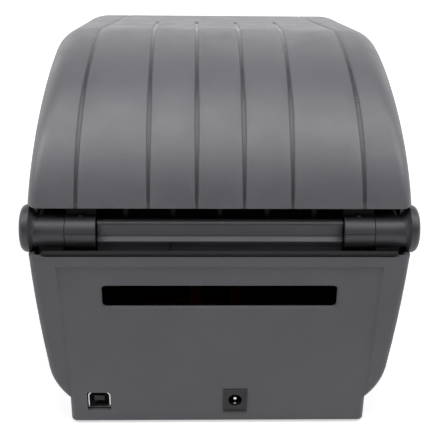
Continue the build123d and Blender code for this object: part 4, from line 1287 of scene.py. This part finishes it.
@dataclass(frozen=True)
class Lamp:
    """One soft box: where it stands, the size of its face, its power in watts and its aim."""

    name: str
    place: Spot
    size: Point
    power: float
    aim: Spot = (0, 0.05, 0.1)

    def add(self) -> None:
        """Add the lamp to the scene."""
        light = bpy.data.lights.new(self.name, "AREA")
        light.shape = "RECTANGLE"
        light.size, light.size_y = self.size
        light.energy = self.power
        holder = new_object(self.name, light)
        holder.location = self.place
        towards = Vector(self.aim) - Vector(self.place)
        holder.rotation_euler = towards.to_track_quat("-Z", "Y").to_euler()


LAMPS = (
    Lamp("overhead", (0.0, 0.22, 0.95), (0.9, 0.60), 3.4),
    Lamp("front_fill", (0.0, -0.9, 1.0), (1.2, 0.5), 2.1, aim=(0, -0.1, 0.1)),
    Lamp("side_left", (0.75, 0.22, 0.75), (0.5, 0.6), 3.6),
    Lamp("side_right", (-0.75, 0.22, 0.75), (0.5, 0.6), 3.6),
)


@dataclass
class Studio:
    """A plain pale studio with the camera where the photograph was taken from.

    The spans are distances, or directions' heights and depths, between which a light changes.
    """

    place: Spot = (0.012725, 0.544802, 0.343066)
    pitch_deg: float = 27.611
    yaw_deg: float = -1.699
    roll_deg: float = 0.876
    focal_pixels: float = 941.38
    frame_pixels: int = 440
    sensor: float = 36.0
    clip: Point = (0.01, 50.0)
    floor_half: float = 6.0
    mottle_size: float = 0.4
    mottle: float = 0.99
    floor_roughness: float = 0.9
    glow: float = 0.62
    glow_span: Point = (0.35, 1.10)
    white: float = 0.80
    sky: float = 0.07
    dim: float = 0.03
    ceiling: float = 1.2
    front: float = 1.5
    ceiling_span: Point = (0.50, 0.85)
    front_span: Point = (0.65, 0.35)
    horizon: Point = (0.10, -0.30)

    def camera(self) -> None:
        """Add the camera."""
        yaw, pitch, roll = map(math.radians, (self.yaw_deg, self.pitch_deg, self.roll_deg))
        ahead = Vector((math.sin(yaw) * math.cos(pitch), -math.cos(yaw) * math.cos(pitch),
                        -math.sin(pitch)))
        right = ahead.cross(Vector((0, 0, 1))).normalized()
        up = right.cross(ahead)
        rolled_right = right * math.cos(roll) + up * math.sin(roll)
        rolled_up = up * math.cos(roll) - right * math.sin(roll)
        lens = bpy.data.cameras.new("camera")
        lens.sensor_width = self.sensor
        lens.lens = self.focal_pixels / self.frame_pixels * self.sensor
        lens.clip_start, lens.clip_end = self.clip
        holder = new_object("camera", lens)
        turn = Matrix((rolled_right, rolled_up, -ahead)).transposed().to_4x4()
        holder.matrix_world = Matrix.Translation(self.place) @ turn
        bpy.context.scene.camera = holder

    def world(self) -> None:
        """Make the sky: plain light on the object, and white where the camera sees it."""
        world = bpy.data.worlds.new("studio")
        world.use_nodes = True
        bpy.context.scene.world = world
        sky = NodeTree(world.node_tree)
        ray = sky.add("LightPath").outputs
        apart = sky.add("SeparateXYZ")
        sky.link(sky.add("TexCoord").outputs["Generated"], apart.inputs[0])
        depth, height = apart.outputs["Y"], apart.outputs["Z"]

        def ramp(value: Socket, span: Point, high: float, low: float = 0.0) -> Socket:
            """Map a span of a value onto levels of light."""
            return sky.spread(value, low, high, *span, curve="SMOOTHSTEP")

        raised = ramp(height, self.ceiling_span, 1.0, low=self.dim)
        behind = ramp(depth, self.horizon[::-1], self.ceiling)
        low_front = ramp(height, self.front_span, self.front)
        ahead = sky.combine("MULTIPLY", ramp(depth, self.horizon, 1.0), low_front)
        over = sky.combine("MULTIPLY", raised, behind)
        shown = sky.combine("MAXIMUM", over, ahead)
        mirrored = sky.combine("MULTIPLY", shown, ray["Is Glossy Ray"])
        seen = sky.combine("MAXIMUM", ray["Is Camera Ray"], ray["Is Transmission Ray"])
        plain_sky = ramp(ray["Is Diffuse Ray"], (0.0, 1.0), self.sky)
        level = sky.combine("MAXIMUM", sky.combine("MAXIMUM", seen, mirrored), plain_sky)
        background = sky.add("Background")
        sky.feed(background, "Color", (1.0, 1.0, 1.0, 1.0))
        sky.feed(background, "Strength", level)
        sky.link(background.outputs[0], sky.add("OutputWorld").inputs["Surface"])

    def floor(self) -> None:
        """Lay a pale floor that shows white and keeps a soft shadow."""
        half = self.floor_half
        corners = [Vector((*corner, 0)) for corner in rectangle((-half, -half), 2 * half, 2 * half)]
        floor = mesh_object("floor", corners, [[0, 1, 2, 3]])
        sheet = Sheet("floor_paint")
        mottle = sheet.noise(sheet.place(), self.mottle_size)
        pale = (self.white,) * 3
        tone = sheet.mix(sheet.spread(mottle, 0.0, 1.0), shade(pale, self.mottle), pale)
        sheet.set("Base Color", tone)
        sheet.set("Roughness", self.floor_roughness)
        ray = sheet.add("LightPath").outputs
        mirrored = sheet.combine("MAXIMUM", ray["Is Glossy Ray"], ray["Is Transmission Ray"])
        seen = sheet.combine("MAXIMUM", ray["Is Camera Ray"], mirrored)
        far = sheet.add("VectorMath", operation="LENGTH")
        sheet.link(sheet.place(), far.inputs[0])
        level = sheet.spread(far.outputs["Value"], self.glow, 1.0, *self.glow_span)
        glow = sheet.add("Emission")
        sheet.feed(glow, "Color", (1.0, 1.0, 1.0, 1.0))
        sheet.feed(glow, "Strength", sheet.combine("MULTIPLY", seen, level))
        both = sheet.add("AddShader")
        sheet.link(sheet.shader.outputs["BSDF"], both.inputs[0])
        sheet.link(glow.outputs["Emission"], both.inputs[1])
        sheet.link(both.outputs[0], sheet.output.inputs["Surface"])
        floor.data.materials.append(sheet.material)

    def build(self) -> None:
        """Set up the studio."""
        bpy.context.scene.view_settings.view_transform = "Standard"
        self.camera()
        for lamp in LAMPS:
            lamp.add()
        self.world()
        self.floor()
        LOG.info("studio ready with %d lamps", len(LAMPS))


def main() -> None:
    """Build the printer's looks in order."""
    logging.basicConfig(level=logging.INFO, format="%(name)s %(message)s")
    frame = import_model()
    Studio().build()
    dress_frame(frame)
    for assembly in (Cover(), HingeBarrel(), RearSockets(), RockerMarks()):
        assembly.build()


if __name__ == "__main__":
    main()
